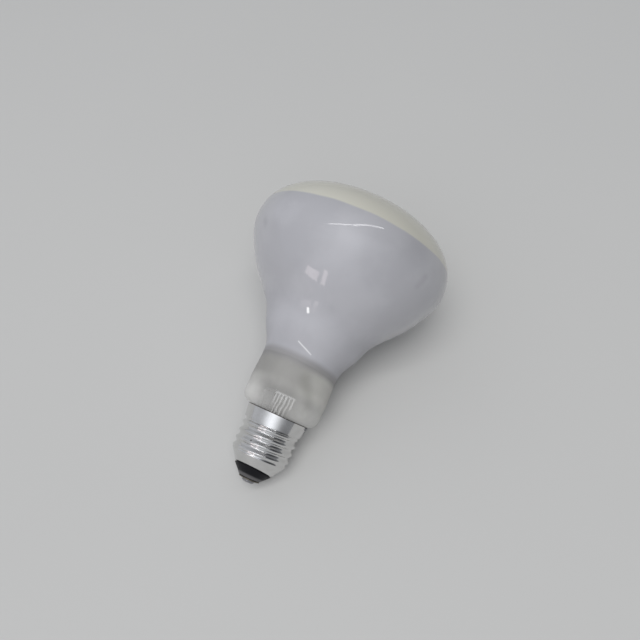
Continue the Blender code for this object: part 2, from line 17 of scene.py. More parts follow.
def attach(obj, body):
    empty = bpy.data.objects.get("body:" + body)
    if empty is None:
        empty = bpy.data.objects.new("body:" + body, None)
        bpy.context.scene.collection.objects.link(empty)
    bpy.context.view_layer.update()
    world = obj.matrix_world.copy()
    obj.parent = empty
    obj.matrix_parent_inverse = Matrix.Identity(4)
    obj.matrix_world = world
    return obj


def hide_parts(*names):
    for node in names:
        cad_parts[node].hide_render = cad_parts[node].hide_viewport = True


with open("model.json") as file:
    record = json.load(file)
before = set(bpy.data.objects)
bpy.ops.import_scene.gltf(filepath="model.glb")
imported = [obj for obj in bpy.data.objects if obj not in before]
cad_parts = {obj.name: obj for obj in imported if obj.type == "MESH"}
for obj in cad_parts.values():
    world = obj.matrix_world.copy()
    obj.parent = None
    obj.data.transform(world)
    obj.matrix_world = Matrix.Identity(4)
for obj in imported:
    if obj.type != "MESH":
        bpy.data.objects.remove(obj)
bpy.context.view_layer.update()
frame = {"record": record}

MM = 0.001

# %% [markdown]
# ## The lamp's own axis
# A lamp is turned work, so every piece is easiest to draw upright: height 0 at the tip of the
# centre contact, +Z up to the face. One matrix then lays all of them down. The record's mount
# on the contact already holds the tip's place and the axis, so nothing is measured by eye.

# %% The matrix that lays the lamp down
contact = next(m for m in frame["record"]["mounts"] if m["name"] == "center_contact")
up = -Vector(contact["axis"])
floorward = Vector((up.z, 0, -up.x))
lamp = Matrix((floorward, Vector((0, 1, 0)), up)).transposed().to_4x4()
lamp.translation = Vector(contact["pos_m"])
print(f"axis rises {math.degrees(math.asin(up.z)):.2f} degrees towards the face")

# %% [markdown]
# ## Camera
# The photo looks down on the bulb from behind its cap. A camera could be placed by eye, but the
# bulb's outline, the cap's rim and the face's edge are circles of known size, so elevation,
# bearing, distance and lens were fitted to them: 33.75 mm on a 36 mm square frame.

# %% Camera
CAMERA_PLACE = Vector((-124.5, -62.6, 267.8)) * MM
CAMERA_ELEVATION = 58.1  # degrees that it looks down
CAMERA_BEARING = 64.3  # degrees from +Y towards +X


def add_object(name, data):
    """Object of some data, linked to the scene."""
    piece = bpy.data.objects.new(name, data)
    bpy.context.scene.collection.objects.link(piece)
    return piece


camera = add_object("camera", bpy.data.cameras.new("camera"))
camera.data.lens = 33.75
camera.data.sensor_width = 36
camera.data.clip_start = 10 * MM
camera.location = CAMERA_PLACE
pitch, heading = math.radians(90 - CAMERA_ELEVATION), math.radians(-CAMERA_BEARING)
camera.rotation_euler = (pitch, 0, heading)
bpy.context.scene.camera = camera
bpy.context.scene.view_settings.view_transform = "Standard"
print(f"camera {CAMERA_PLACE.length / MM:.0f} mm from the middle of the floor under the bulb")

# %% [markdown]
# ## Heights along the lamp
# Everything stacks up from the tip of the contact: solder, eyelet, black glass, cap, neck and
# bowl. These are the solid model's own lengths, so the smooth pieces land where it has them.

# %% Heights from the tip of the contact
GAP = 0.3 * MM  # between pieces that touch on the real lamp
SOLDER_HEIGHT = 1.2 * MM
EYELET_THICKNESS = 0.4 * MM
INSULATOR_CONE = 3.6 * MM
CAP_CONE = 5.7 * MM
CAP_THREAD = 14.2 * MM
CAP_COLLAR = 5.8 * MM
SEAL_DROP = 6.3 * MM
SHOULDER = 5.0 * MM

eyelet_foot = SOLDER_HEIGHT + GAP
insulator_foot = eyelet_foot + EYELET_THICKNESS + GAP
insulator_edge = insulator_foot + INSULATOR_CONE
cap_foot = insulator_edge + GAP
thread_foot = cap_foot + CAP_CONE
thread_top = thread_foot + CAP_THREAD
cap_top = thread_top + CAP_COLLAR
seal_foot = cap_top - SEAL_DROP
neck_foot = cap_top + SHOULDER
print(f"cap from {cap_foot / MM:.1f} to {cap_top / MM:.1f} mm, neck from {neck_foot / MM:.1f} mm")

# %% [markdown]
# ## The blown bulb: its outline
# The bulb is blown in a mould, so its wall has no corners: a straight neck, a waist, a step
# and a wide bowl, closed by a shallow dome. It could be drawn as a Bezier curve by hand, but a
# cubic spline through a few measured stations is smooth by itself. It is level at both ends,
# so it runs on into the shoulder below and the face above with no crease to catch the light.

# %% Stations of the bulb
SEAL_RADIUS = 10.8 * MM
MOUTH_RADIUS = 13.3 * MM
NECK_RADIUS = 18.1 * MM
BANDS = [  # length of each band and the radius at its upper end, in mm
    (9.5, 18.1),
    (8.0, 17.8),
    (6.0, 18.7),
    (7.0, 22.4),
    (7.0, 25.2),
    (15.3, 37.5),
    (8.0, 42.5),
    (12.6, 46.82),
]
FACE_DEPTH = 27.3 * MM
FACE_ROUND = 0.84  # exponents of the face's superellipse, 1 for a plain ellipse
FACE_FLAT = 0.88
print(f"{len(BANDS)} bands, {sum(length for length, radius in BANDS):.1f} mm in all")


# %% Spline through the stations
def blown_curve(stations, step):
    """Smooth (height, radius) points through stations, level at both ends."""
    heights, radii = (np.array(column) for column in zip(*stations))
    steps = np.diff(heights)
    slopes = np.diff(radii) / steps
    count = len(heights)
    system = np.zeros((count, count))
    right = np.zeros(count)
    system[0, :2] = 2 * steps[0], steps[0]
    right[0] = 6 * slopes[0]
    system[-1, -2:] = steps[-1], 2 * steps[-1]
    right[-1] = -6 * slopes[-1]
    for i in range(1, count - 1):
        system[i, i - 1 : i + 2] = steps[i - 1], 2 * (steps[i - 1] + steps[i]), steps[i]
        right[i] = 6 * (slopes[i] - slopes[i - 1])
    bends = np.linalg.solve(system, right)
    points = []
    for i in range(count - 1):
        for t in np.linspace(0, steps[i], max(round(steps[i] / step), 2), endpoint=False):
            left = (2 * bends[i] + bends[i + 1]) * steps[i] / 6
            radius = radii[i] + t * (slopes[i] - left) + t * t * bends[i] / 2
            radius += t**3 * (bends[i + 1] - bends[i]) / (6 * steps[i])
            points.append((heights[i] + t, radius))
    return points


def bulb_outline():
    """(radius, height) from the middle of the face down to the seal inside the cap."""
    stations = [(neck_foot, NECK_RADIUS)]
    for length, radius in BANDS:
        stations.append((stations[-1][0] + length * MM, radius * MM))
    widest, head = stations[-1]
    points = [(0.0, widest + FACE_DEPTH)]
    for share in np.linspace(1, 0, 56, endpoint=False)[1:]:
        turn = math.pi / 2 * share**1.4  # closer together at the rim, where it bends most
        radius = head * math.cos(turn) ** FACE_ROUND
        points.append((radius, widest + FACE_DEPTH * math.sin(turn) ** FACE_FLAT))
    points.append((head, widest))
    for height, radius in reversed(blown_curve(stations, 0.9 * MM)):
        points.append((radius, height))
    for turn in np.linspace(0, math.pi / 2, 13)[1:]:
        radius = MOUTH_RADIUS + (NECK_RADIUS - MOUTH_RADIUS) * math.cos(turn)
        points.append((radius, neck_foot - SHOULDER * math.sin(turn)))
    points.append((SEAL_RADIUS, seal_foot))
    return points


outline = bulb_outline()
print(f"{len(outline)} points, widest {2 * max(outline)[0] / MM:.1f} mm")

# %% [markdown]
# ## Tools for materials
# Colours are picked as sRGB hex values, as on a screen, but shaders add light up, so they need
# the linear value. One function adds any node, sets or links its inputs in the order in which
# the node shows them, and hands back the output that is in use, so a finish reads from top to
# bottom. Patterns are placed in lamp space, where Z is the height on the lamp: a Mapping node
# of type Texture undoes the matrix that laid the lamp down.

# %% Colour, node and material helpers
SMOOTH = {"interpolation_type": "SMOOTHSTEP"}  # Map Range that eases in and out
COLOURS = {"data_type": "RGBA"}  # Mix that works on colours


def linear(code):
    """Linear red, green, blue and alpha of an sRGB hex colour."""
    parts = [int(code[i : i + 2], 16) / 255 for i in (1, 3, 5)]
    parts = [c / 12.92 if c <= 0.04045 else ((c + 0.055) / 1.055) ** 2.4 for c in parts]
    return (*parts, 1.0)


def set_inputs(tree, node, inputs):
    """Gives inputs, named or in order, a value, a hex colour or another node's output."""
    in_use = [socket for socket in node.inputs if socket.enabled]
    if not isinstance(inputs, dict):
        inputs = dict(enumerate(inputs))
    for key, value in inputs.items():
        socket = node.inputs[key] if isinstance(key, str) else in_use[key]
        if isinstance(value, bpy.types.NodeSocket):
            tree.links.new(value, socket)
        else:
            socket.default_value = linear(value) if isinstance(value, str) else value


def add_node(tree, kind, inputs, output=None, **settings):
    """Shader node with settings and inputs. Returns the named output, or the first in use."""
    made = tree.nodes.new(f"ShaderNode{kind}")
    for name, value in settings.items():
        setattr(made, name, value)
    set_inputs(tree, made, inputs)
    in_use = [socket for socket in made.outputs if socket.enabled]
    return made.outputs[output] if output else in_use[0]


def new_material(name):
    """Material with its tree, its Principled shader and the lamp-space position."""
    material = bpy.data.materials.new(name)
    material.use_nodes = True
    tree = material.node_tree
    position = add_node(tree, "TexCoord", (), output="Object")
    turn = lamp.to_euler()
    place = add_node(
        tree, "Mapping", (position, lamp.translation, turn), vector_type="TEXTURE"
    )
    print("material", name)
    return material, tree, tree.nodes["Principled BSDF"], place


print("middle grey #808080 is", round(linear("#808080")[0], 3), "of white's light")

# %% [markdown]
# ## The blown bulb: where its finishes meet
# The glass is clear soda-lime all over. Aluminium was evaporated inside the bowl, the face is
# only etched, and the neck is left nearly clear. Three separate pieces of glass would show
# seams, so the finishes are zones of one wall, split by height on the lamp. A real coating's
# edge is never a true circle: slow noise moves it, and it lies a little askew.

# %% Zones of the bulb
COAT_EDGE = 55.0 * MM  # where the aluminium covers fully, at the lamp's sides
COAT_FADE = 4.2 * MM  # over which it thins out towards the neck
COAT_ASKEW = 0.12  # rise of that edge for each unit towards the lamp's upper side
FACE_EDGE = 118.4 * MM  # where the aluminium ends and the etched face begins
FACE_FADE = 0.5 * MM
GLASS_IOR = 1.52
WANDER_WIDTH = 16 * MM
WANDER = 1.0 * MM


def uneven_height(tree, place, askew=0.0):
    """Height on the lamp, wandering a little as the edge of a coating does."""
    noise = add_node(tree, "TexNoise", {"Vector": place, "Scale": 1 / WANDER_WIDTH})
    shift = add_node(tree, "Math", (noise, 0.5), operation="SUBTRACT")
    tilted = add_node(tree, "VectorMath", (place, (askew, 0, 1)), operation="DOT_PRODUCT")
    return add_node(tree, "Math", (shift, WANDER, tilted), operation="MULTIPLY_ADD")


def etched_share(tree, place):
    """1 on the face and 0 on the coated bowl."""
    edges = FACE_EDGE - FACE_FADE, FACE_EDGE + FACE_FADE
    return add_node(tree, "MapRange", (uneven_height(tree, place), *edges), **SMOOTH)


print(f"coating from {COAT_EDGE / MM:.0f} to {FACE_EDGE / MM:.0f} mm")

# %% [markdown]
# ## The blown bulb: marks in its wall
# A small spot and a short streak on the wall are painted highlights: white marks in the colour
# where its skin mirrors a lamp. The coating has two thin, darker places. They could be bumps,
# but each is only a few pixels wide here, so they are marks in the colour, drawn as short lines
# between two places on the skin. The ripple is the wall's slow unevenness, which makes reflections
# swim.

# %% Marks in the blown wall
# Painted highlights: a small spot and a short streak, drawn white into the colour.
HIGHLIGHT_SPOT = ((-26.7 * MM, 0.8 * MM, 76.7 * MM), (-25.9 * MM, 0.3 * MM, 75.4 * MM))
HIGHLIGHT_SPOT_WIDTH = 0.95 * MM
HIGHLIGHT_STREAK = (  # corners of the line
    (-20.2 * MM, 0.2 * MM, 63.3 * MM),
    (-19.2 * MM, -3.2 * MM, 61.8 * MM),
    (-17.8 * MM, -6.5 * MM, 60.3 * MM),
)
HIGHLIGHT_STREAK_WIDTH = 0.55 * MM
HIGHLIGHT_STREAK_SHARE = 0.45
SMUDGES = (
    ((-31.6 * MM, 33.0 * MM, 104.3 * MM), (-31.9 * MM, 32.0 * MM, 103.4 * MM)),
    ((-25.8 * MM, -38.7 * MM, 106.9 * MM), (-25.5 * MM, -37.5 * MM, 103.0 * MM)),
)
SMUDGE_WIDTH = 3.0 * MM
SMUDGE_SHARE = 0.14
RIPPLE_WIDTH = 18 * MM
RIPPLE_DEPTH = 0.25 * MM


def line_mark(tree, place, start, end, width):
    """1 along a short line between two places on the skin, and 0 beyond its width."""
    line = Vector(end) - Vector(start)
    unit = line / line.length_squared
    from_start = add_node(tree, "VectorMath", (place, start), operation="SUBTRACT")
    along = add_node(tree, "VectorMath", (from_start, unit), operation="DOT_PRODUCT")
    along = add_node(tree, "Clamp", (along,))
    nearest = add_node(tree, "VectorMath", (line, along), operation="SCALE")
    apart = add_node(tree, "VectorMath", (from_start, nearest), operation="DISTANCE")
    return add_node(tree, "MapRange", (apart, 0.0, width, 1.0, 0.0), **SMOOTH)


def with_marks(tree, place, colour):
    """A wall's colour with the painted highlights and the smudges on it."""
    painted_glint = line_mark(tree, place, *HIGHLIGHT_SPOT, HIGHLIGHT_SPOT_WIDTH)
    painted_gleam = [line_mark(tree, place, *ends, HIGHLIGHT_STREAK_WIDTH) for ends in zip(HIGHLIGHT_STREAK, HIGHLIGHT_STREAK[1:])]
    painted_gleam = add_node(tree, "Math", painted_gleam, operation="MAXIMUM")
    painted_gleam = add_node(tree, "Math", (painted_gleam, HIGHLIGHT_STREAK_SHARE), operation="MULTIPLY")
    smudge = [line_mark(tree, place, *ends, SMUDGE_WIDTH) for ends in SMUDGES]
    smudge = add_node(tree, "Math", smudge, operation="MAXIMUM")
    smudge = add_node(tree, "Math", (smudge, SMUDGE_SHARE), operation="MULTIPLY")
    colour = add_node(tree, "Mix", (smudge, colour, "#5E5E64"), **COLOURS)
    # The painted highlights turn the colour white.
    bright = add_node(tree, "Math", (painted_glint, painted_gleam), operation="MAXIMUM")
    return add_node(tree, "Mix", (bright, colour, "#FFFFFF"), **COLOURS)


def blown_ripple(tree, place):
    """Slow unevenness of a blown wall, as a normal."""
    noise = add_node(tree, "TexNoise", {"Vector": place, "Scale": 1 / RIPPLE_WIDTH})
    bump = {"Height": noise, "Strength": 0.25, "Distance": RIPPLE_DEPTH}
    return add_node(tree, "Bump", bump)


def blown_skin(tree, place):
    """Inputs that the outer glass shares: soft depth under a sharp, gently rippled skin."""
    ripple = blown_ripple(tree, place)
    skin = {"Roughness": 0.5, "Coat Roughness": 0.03, "Coat IOR": GLASS_IOR}
    return skin | {"Normal": ripple, "Coat Normal": ripple}


print(f"{2 + len(SMUDGES)} marks, ripple {RIPPLE_WIDTH / MM:.0f} mm wide")

# %% [markdown]
# ## The blown bulb: outside of the bowl and the face
# Seen from outside, the aluminium behind etched glass is a pale satin grey, and the face is a
# warmer one. Both lie under the polished outer skin: a sharp reflection over a soft one. Real
# refraction through two walls would be slow and noisy. A clear coat over a soft base gives the
# same look in one layer. Dust dulls the skin below the bowl.

# %% Coated glass
BOWL_DARK, BOWL_LIGHT = "#A1A1A6", "#A9A9AE"
FACE_DARK, FACE_LIGHT = "#BBBAB0", "#C1BFB5"
COAT_EDGE_COLOUR = "#8A898A"
COAT_RISE = 3.0 * MM  # over which the wall gets its full colour above the edge
BOWL_CLOUD = 22 * MM  # width of the clouds in the coating, and in the etching below
FACE_CLOUD = 15 * MM
DUSTY_WAIST = 77 * MM, 83 * MM  # between these the skin goes from dusty to clean
DUSTY_SHINE = 0.25  # how much of a clean skin's reflection is left under the dust


def coating_colour(tree, place, height):
    """Colour of the aluminised wall, greyer where the coating starts."""
    clouds = {"Vector": place, "Scale": 1 / BOWL_CLOUD, "Detail": 4}
    cloud = add_node(tree, "MapRange", (add_node(tree, "TexNoise", clouds), 0.35, 0.65), **SMOOTH)
    bowl = add_node(tree, "Mix", (cloud, BOWL_DARK, BOWL_LIGHT), **COLOURS)
    bowl = with_marks(tree, place, bowl)
    full = add_node(tree, "MapRange", (height, COAT_EDGE, COAT_EDGE + COAT_RISE), **SMOOTH)
    return add_node(tree, "Mix", (full, COAT_EDGE_COLOUR, bowl), **COLOURS)


def coated_glass():
    """Soda-lime glass, etched and aluminised from within."""
    # To the eye: satin depth under a polished skin, which mirrors the lamps as sharp shapes.
    material, tree, shader, place = new_material("soda_lime_glass_blown_and_aluminised")
    bowl = coating_colour(tree, place, uneven_height(tree, place, COAT_ASKEW))
    clouds = {"Vector": place, "Scale": 1 / FACE_CLOUD, "Detail": 4}
    face = (add_node(tree, "TexNoise", clouds), FACE_DARK, FACE_LIGHT)
    face = add_node(tree, "Mix", face, **COLOURS)
    polish = (uneven_height(tree, place), *DUSTY_WAIST, DUSTY_SHINE, 1.0)
    finish = {
        "Base Color": add_node(tree, "Mix", (etched_share(tree, place), bowl, face), **COLOURS),
        "Coat Weight": add_node(tree, "MapRange", polish, **SMOOTH),
        **blown_skin(tree, place),
    }
    set_inputs(tree, shader, finish)
    return material


coated = coated_glass()

# %% [markdown]
# ## The blown bulb: inside of the bowl and the face
# From the filament's side the coating is the metal itself: grey-white, soft, and bright. Below
# its edge the inner wall is almost not there, so the neck stays clear. An alpha that rises
# with height does that, with no edge between two materials to run jagged along the faces.

# %% Bright coating
METAL_CLOUD = 9 * MM
CLEAR_WALL = 0.06  # what still shows of the inner wall where it is bare


def bright_coating():
    """Aluminium evaporated in a vacuum onto etched glass."""
    # To the eye: a soft, cloudy mirror that keeps the inside light.
    material, tree, shader, place = new_material("aluminium_evaporated_in_vacuum")
    etched = etched_share(tree, place)
    clouds = {"Vector": place, "Scale": 1 / METAL_CLOUD, "Detail": 4}
    metal = (add_node(tree, "TexNoise", clouds), "#D3D4D8", "#E4E5E8")
    metal = add_node(tree, "Mix", metal, **COLOURS)
    height = uneven_height(tree, place, COAT_ASKEW)
    fade = (height, COAT_EDGE - COAT_FADE, COAT_EDGE, CLEAR_WALL, 1.0)
    finish = {
        "Base Color": add_node(tree, "Mix", (etched, metal, "#DAD9D3"), **COLOURS),
        "Roughness": 0.5,
        "Metallic": add_node(tree, "MapRange", (etched, 0.0, 1.0, 0.6, 0.0), **SMOOTH),
        "Alpha": add_node(tree, "MapRange", fade, **SMOOTH),
    }
    set_inputs(tree, shader, finish)
    return material


mirror = bright_coating()

# %% [markdown]
# ## The blown bulb: its clear neck
# The neck is bare glass, but years of hot metal have left a grey film in it, thicker towards
# the bowl. Its colour holds painted light: paler where the neck lies in shade, low down at the
# sides and high up on the right, and darker where it is lit, with a dark area of painted shade on
# the right. Glass that bends light would hide the stem in noise at this size. A thin haze drawn
# with alpha lets the stem show through, as it does on the real lamp.

# %% Neck glass
NECK_HAZE = 0.43  # how much of the film covers what is behind it, at its foot and at its top
FILM_HAZE = 0.86
NECK_SHINE = 0.1  # how much of a clean skin's reflection is left
FILM_FOOT = 37.0 * MM
FILM_TOP = 46.0 * MM
# Painted light against the neck's shading: the shaded sides get the paler colours, the lit middle
# and left the darker.
FILM_LOW_LIT_MIDDLE, FILM_LOW_SHADED_SIDES = "#B4B3B0", "#ECEBE7"
FILM_HIGH_LIT_LEFT, FILM_HIGH_SHADED_RIGHT = "#979693", "#C2C1BC"
FILM_MIDDLE, FILM_SIDES = 4 * MM, 14 * MM  # from the axis, where the middle ends and sides begin
FILM_CLOUD = 12 * MM
# A dark area of painted shade, drawn as a short, wide line on the right of the neck.
SHADE_AREA = ((-15.9 * MM, -8.2 * MM, 49.7 * MM), (-12.3 * MM, -13.3 * MM, 41.4 * MM))
SHADE_AREA_WIDTH = 4.5 * MM
SHADE_AREA_SHARE = 0.3


def film_colour(tree, place, thick):
    """Colour of the film, with painted light against its shading: paler low down at the sides and
    high up on the right, where shade falls.
    """
    across = add_node(tree, "SeparateXYZ", (place,), output="Y")
    side = add_node(tree, "MapRange", (across, -NECK_RADIUS, -FILM_MIDDLE), **SMOOTH)
    high = add_node(tree, "Mix", (side, FILM_HIGH_SHADED_RIGHT, FILM_HIGH_LIT_LEFT), **COLOURS)
    aside = add_node(tree, "Math", (across,), operation="ABSOLUTE")
    aside = add_node(tree, "MapRange", (aside, FILM_MIDDLE, FILM_SIDES), **SMOOTH)
    low = add_node(tree, "Mix", (aside, FILM_LOW_LIT_MIDDLE, FILM_LOW_SHADED_SIDES), **COLOURS)
    colour = add_node(tree, "Mix", (thick, low, high), **COLOURS)
    # Painted shade: a dark area on the right of the neck.
    shade_area = line_mark(tree, place, *SHADE_AREA, SHADE_AREA_WIDTH)
    shade_area = add_node(tree, "Math", (shade_area, SHADE_AREA_SHARE), operation="MULTIPLY")
    return add_node(tree, "Mix", (shade_area, colour, "#6A6A62"), **COLOURS)


def neck_glass():
    """Bare soda-lime glass, hazed by a film of evaporated metal that thickens upwards."""
    # To the eye: a cloudy grey window. The dusty skin mirrors only a little.
    material, tree, shader, place = new_material("soda_lime_glass_blown_clear")
    height = uneven_height(tree, place, COAT_ASKEW)
    thick = add_node(tree, "MapRange", (height, FILM_FOOT, FILM_TOP), **SMOOTH)
    haze = add_node(tree, "MapRange", (thick, 0.0, 1.0, NECK_HAZE, FILM_HAZE), **SMOOTH)
    clouds = {"Vector": place, "Scale": 1 / FILM_CLOUD, "Detail": 3}
    cloud = (add_node(tree, "TexNoise", clouds), 0.3, 0.7, -0.05, 0.05)
    cloud = add_node(tree, "MapRange", cloud, **SMOOTH)
    haze = add_node(tree, "Math", (haze, cloud), operation="ADD")
    coat = add_node(tree, "MapRange", (height, COAT_EDGE - COAT_FADE, COAT_EDGE), **SMOOTH)
    walls = (coat, film_colour(tree, place, thick), coating_colour(tree, place, height))
    finish = {
        "Base Color": add_node(tree, "Mix", walls, **COLOURS),
        "Alpha": add_node(tree, "Math", (haze, coat), operation="MAXIMUM"),
        "IOR": GLASS_IOR,
        "Coat Weight": NECK_SHINE,
        **blown_skin(tree, place),
    }
    set_inputs(tree, shader, finish)
    return material


clear_neck = neck_glass()

# %% [markdown]
# ## Turned pieces
# Bulb, cap, insulator, eyelet and solder are all profiles turned round one axis. A primitive
# would give straight sides, so a line of points goes through Blender's Screw modifier instead.
# Solidify then gives a blown or rolled wall its thickness, and the result is kept as a plain
# mesh with its seam welded. A finished piece is laid down in the lamp with the one matrix.

# %% Helpers that turn a piece and put it in place
def turned(name, points, steps, closed=False):
    """(radius, height) points turned round Z. Open ones run down the outer side, top to bottom."""
    mesh = bpy.data.meshes.new("profile")
    edges = [(i, i + 1) for i in range(len(points) - 1)]
    if closed:
        edges.append((len(points) - 1, 0))
    mesh.from_pydata([(radius, 0, height) for radius, height in points], edges, [])
    piece = add_object(name, mesh)
    screw = piece.modifiers.new("turn", "SCREW")
    screw.steps = screw.render_steps = steps
    screw.use_merge_vertices = True
    screw.merge_threshold = 0.002 * MM
    screw.use_smooth_shade = True
    return piece


def add_wall(piece, thickness):
    """Thickness inwards from a turned skin."""
    wall = piece.modifiers.new("wall", "SOLIDIFY")
    wall.thickness = thickness
    wall.offset = -1
    wall.use_even_offset = True
    return wall


def apply_modifiers(piece, sharp=40):
    """Turns what a piece's modifiers show into its mesh, welded and shaded smooth."""
    graph = bpy.context.evaluated_depsgraph_get()
    mesh = bpy.data.meshes.new_from_object(piece.evaluated_get(graph))
    shape = bmesh.new()
    shape.from_mesh(mesh)
    bmesh.ops.remove_doubles(shape, verts=shape.verts, dist=0.001 * MM)
    shape.to_mesh(mesh)
    shape.free()
    mesh.shade_smooth()
    mesh.set_sharp_from_angle(angle=math.radians(sharp))
    name = piece.name
    bpy.data.objects.remove(piece)
    return add_object(name, mesh)


def install(piece, node, slot, *materials):
    """Lays a finished piece down in the lamp, in place of its plain solid."""
    faces = [face.material_index for face in piece.data.polygons]
    piece.data.materials.clear()
    for material in materials:
        piece.data.materials.append(material)
    piece.data.polygons.foreach_set("material_index", faces)
    piece.data.transform(lamp)
    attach(piece, "root")
    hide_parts(node)
    print(f"{piece.name}: {len(piece.data.polygons)} faces")


# %% [markdown]
# ## The blown bulb: its wall
# Real glass is blown from one gather, so the bulb is one turned skin with a wall. Solidify
# gives the inner faces their own material, and the outer faces below the coating's edge get
# the neck's. That one reaches a little past the edge, so the fade itself is in one material.

# %% The bulb itself
BULB_STEPS = 192
GLASS_WALL = 0.9 * MM
NECK_OVERLAP = 1 * MM
bulb = turned("blown_bulb", outline, BULB_STEPS)
add_wall(bulb, GLASS_WALL).material_offset = 1
bulb.data.materials.append(None)
bulb.data.materials.append(None)
bulb = apply_modifiers(bulb)
for face in bulb.data.polygons:
    outside = face.material_index == 0
    if outside and face.center.z + COAT_ASKEW * face.center.x < COAT_EDGE + NECK_OVERLAP:
        face.material_index = 2
install(bulb, "glass_envelope", "bulb_glass", coated, mirror, clear_neck)

# %% [markdown]
# ## The stem
# Inside the neck stands the stem: a flared glass tube whose upper end was heated and squeezed
# flat round the wires, which makes the press. Its sections change from a circle to a rounded
# bar, and no modifier makes that, so it is a loft: rings of points joined ring to ring. The
# same loft runs up the outside and back down the bore, so the tube is hollow in one surface.

# %% Loft of rings
def ring(thick, wide, squareness, height, points):
    """Points of a superellipse: a circle at squareness 2, a rounded bar above that."""
    turns = np.linspace(0, 2 * math.pi, points, endpoint=False)
    x, y = np.cos(turns), np.sin(turns)
    power = 2 / squareness
    x = np.sign(x) * np.abs(x) ** power * thick
    y = np.sign(y) * np.abs(y) ** power * wide
    return [(a, b, height) for a, b in zip(x, y)]


def mesh_from(name, shape):
    """Mesh of a finished bmesh."""
    mesh = bpy.data.meshes.new(name)
    shape.to_mesh(mesh)
    shape.free()
    return mesh


def loft(name, sections, points):
    """Closed piece through rings, from one capped end to the other."""
    shape = bmesh.new()
    rings = [[shape.verts.new(p) for p in ring(*section, points)] for section in sections]
    for low, high in zip(rings, rings[1:]):
        for i in range(points):
            j = (i + 1) % points
            shape.faces.new((low[i], low[j], high[j], high[i]))
    shape.faces.new(rings[0][::-1])
    shape.faces.new(rings[-1])
    bmesh.ops.recalc_face_normals(shape, faces=shape.faces)
    mesh = mesh_from(name, shape)
    mesh.shade_smooth()
    mesh.set_sharp_from_angle(angle=math.radians(50))
    return add_object(name, mesh)


# %% [markdown]
# ## The stem: its sections
# Going down the bore and up the outside, each ring needs three numbers at its height: half
# thickness, half width and squareness. One function gives them for the outside, and the bore
# follows it at the tube's wall. A small round ends the press, as surface tension leaves it.

# %% Sections of the stem
STEM_RADIUS = 4.1 * MM
STEM_BORE = 3.05 * MM
FLARE = 6.0 * MM
STEM_TUBE = 2.6 * MM
PINCH = 3.6 * MM
PRESS = 3.9 * MM
PRESS_WIDTH = 10.4 * MM
PRESS_THICKNESS = 3.8 * MM
PRESS_ROUND = 0.8 * MM
FLARE_CURVE = 2.2  # above 1, the flare opens slowly at first and then quickly
BORE_DOME = 0.35  # height of the bore's round top for each unit of its radius
bore_top = seal_foot + FLARE + STEM_TUBE
press_foot = bore_top + PINCH
press_top = press_foot + PRESS
flare_rim = SEAL_RADIUS - GLASS_WALL - 2 * GAP


def smooth_step(t):
    """Ease from 0 to 1 as t runs from 0 to 1, flat at both ends."""
    t = np.clip(t, 0.0, 1.0)
    return t * t * (3 - 2 * t)


def stem_section(height):
    """Half thickness, half width and squareness of the stem's outside."""
    if height < seal_foot + FLARE:
        share = (seal_foot + FLARE - height) / FLARE
        radius = STEM_RADIUS + (flare_rim - STEM_RADIUS) * share**FLARE_CURVE
        return radius, radius, 2.0
    share = float(smooth_step((height - bore_top) / PINCH))
    thick = STEM_RADIUS + (PRESS_THICKNESS / 2 - STEM_RADIUS) * share
    wide = STEM_RADIUS + (PRESS_WIDTH / 2 - STEM_RADIUS) * share
    return thick, wide, 2.0 + share


def stem_sections():
    """Rings from the top of the bore down to the flare, then up the outside to the press."""
    sections = []
    tube_wall = STEM_RADIUS - STEM_BORE
    for turn in np.linspace(0.05, math.pi / 2, 8):
        radius = STEM_BORE * math.sin(turn)
        height = bore_top - STEM_BORE * (1 - math.cos(turn)) * BORE_DOME
        sections.append((radius, radius, 2.0, height))
    for height in np.linspace(sections[-1][3], seal_foot, 24)[1:]:
        radius = stem_section(height)[0] - tube_wall
        sections.append((radius, radius, 2.0, height))
    for height in np.linspace(seal_foot, press_top - PRESS_ROUND, 60):
        sections.append((*stem_section(height), height))
    thick, wide, squareness = stem_section(press_top)
    for turn in np.linspace(0, math.pi / 2, 7)[1:]:
        inset = PRESS_ROUND * (1 - math.cos(turn))
        height = press_top - PRESS_ROUND * (1 - math.sin(turn))
        sections.append((thick - inset, wide - inset, squareness, height))
    return sections


print(f"press from {press_foot / MM:.1f} to {press_top / MM:.1f} mm")

# %% [markdown]
# ## The stem: its glass
# Stems are of lead glass, which softens at a lower heat. Drawing the tube leaves striae, fine
# lines along it. They are painted pale and dark with the contrast of a clear tube's highlights and
# dark edges, and a painted highlight lies along the rounded end of the press. The lines are
# bands across the width, bent a little by noise, with the position squeezed along the stem so
# that they run down it. They are drawn wider than they are, or they would not show.

# %% Stem of lead glass
STRIA_SPACING = 1.7 * MM
STEM_BODY = 0.95  # how much of the glass's own milky look covers what is behind it
# Where the painted highlight on the press's end begins and is full, below its top.
PAINTED_END_HIGHLIGHT = 1.5 * MM, 0.6 * MM  # below the press's top, where its glow begins and is full


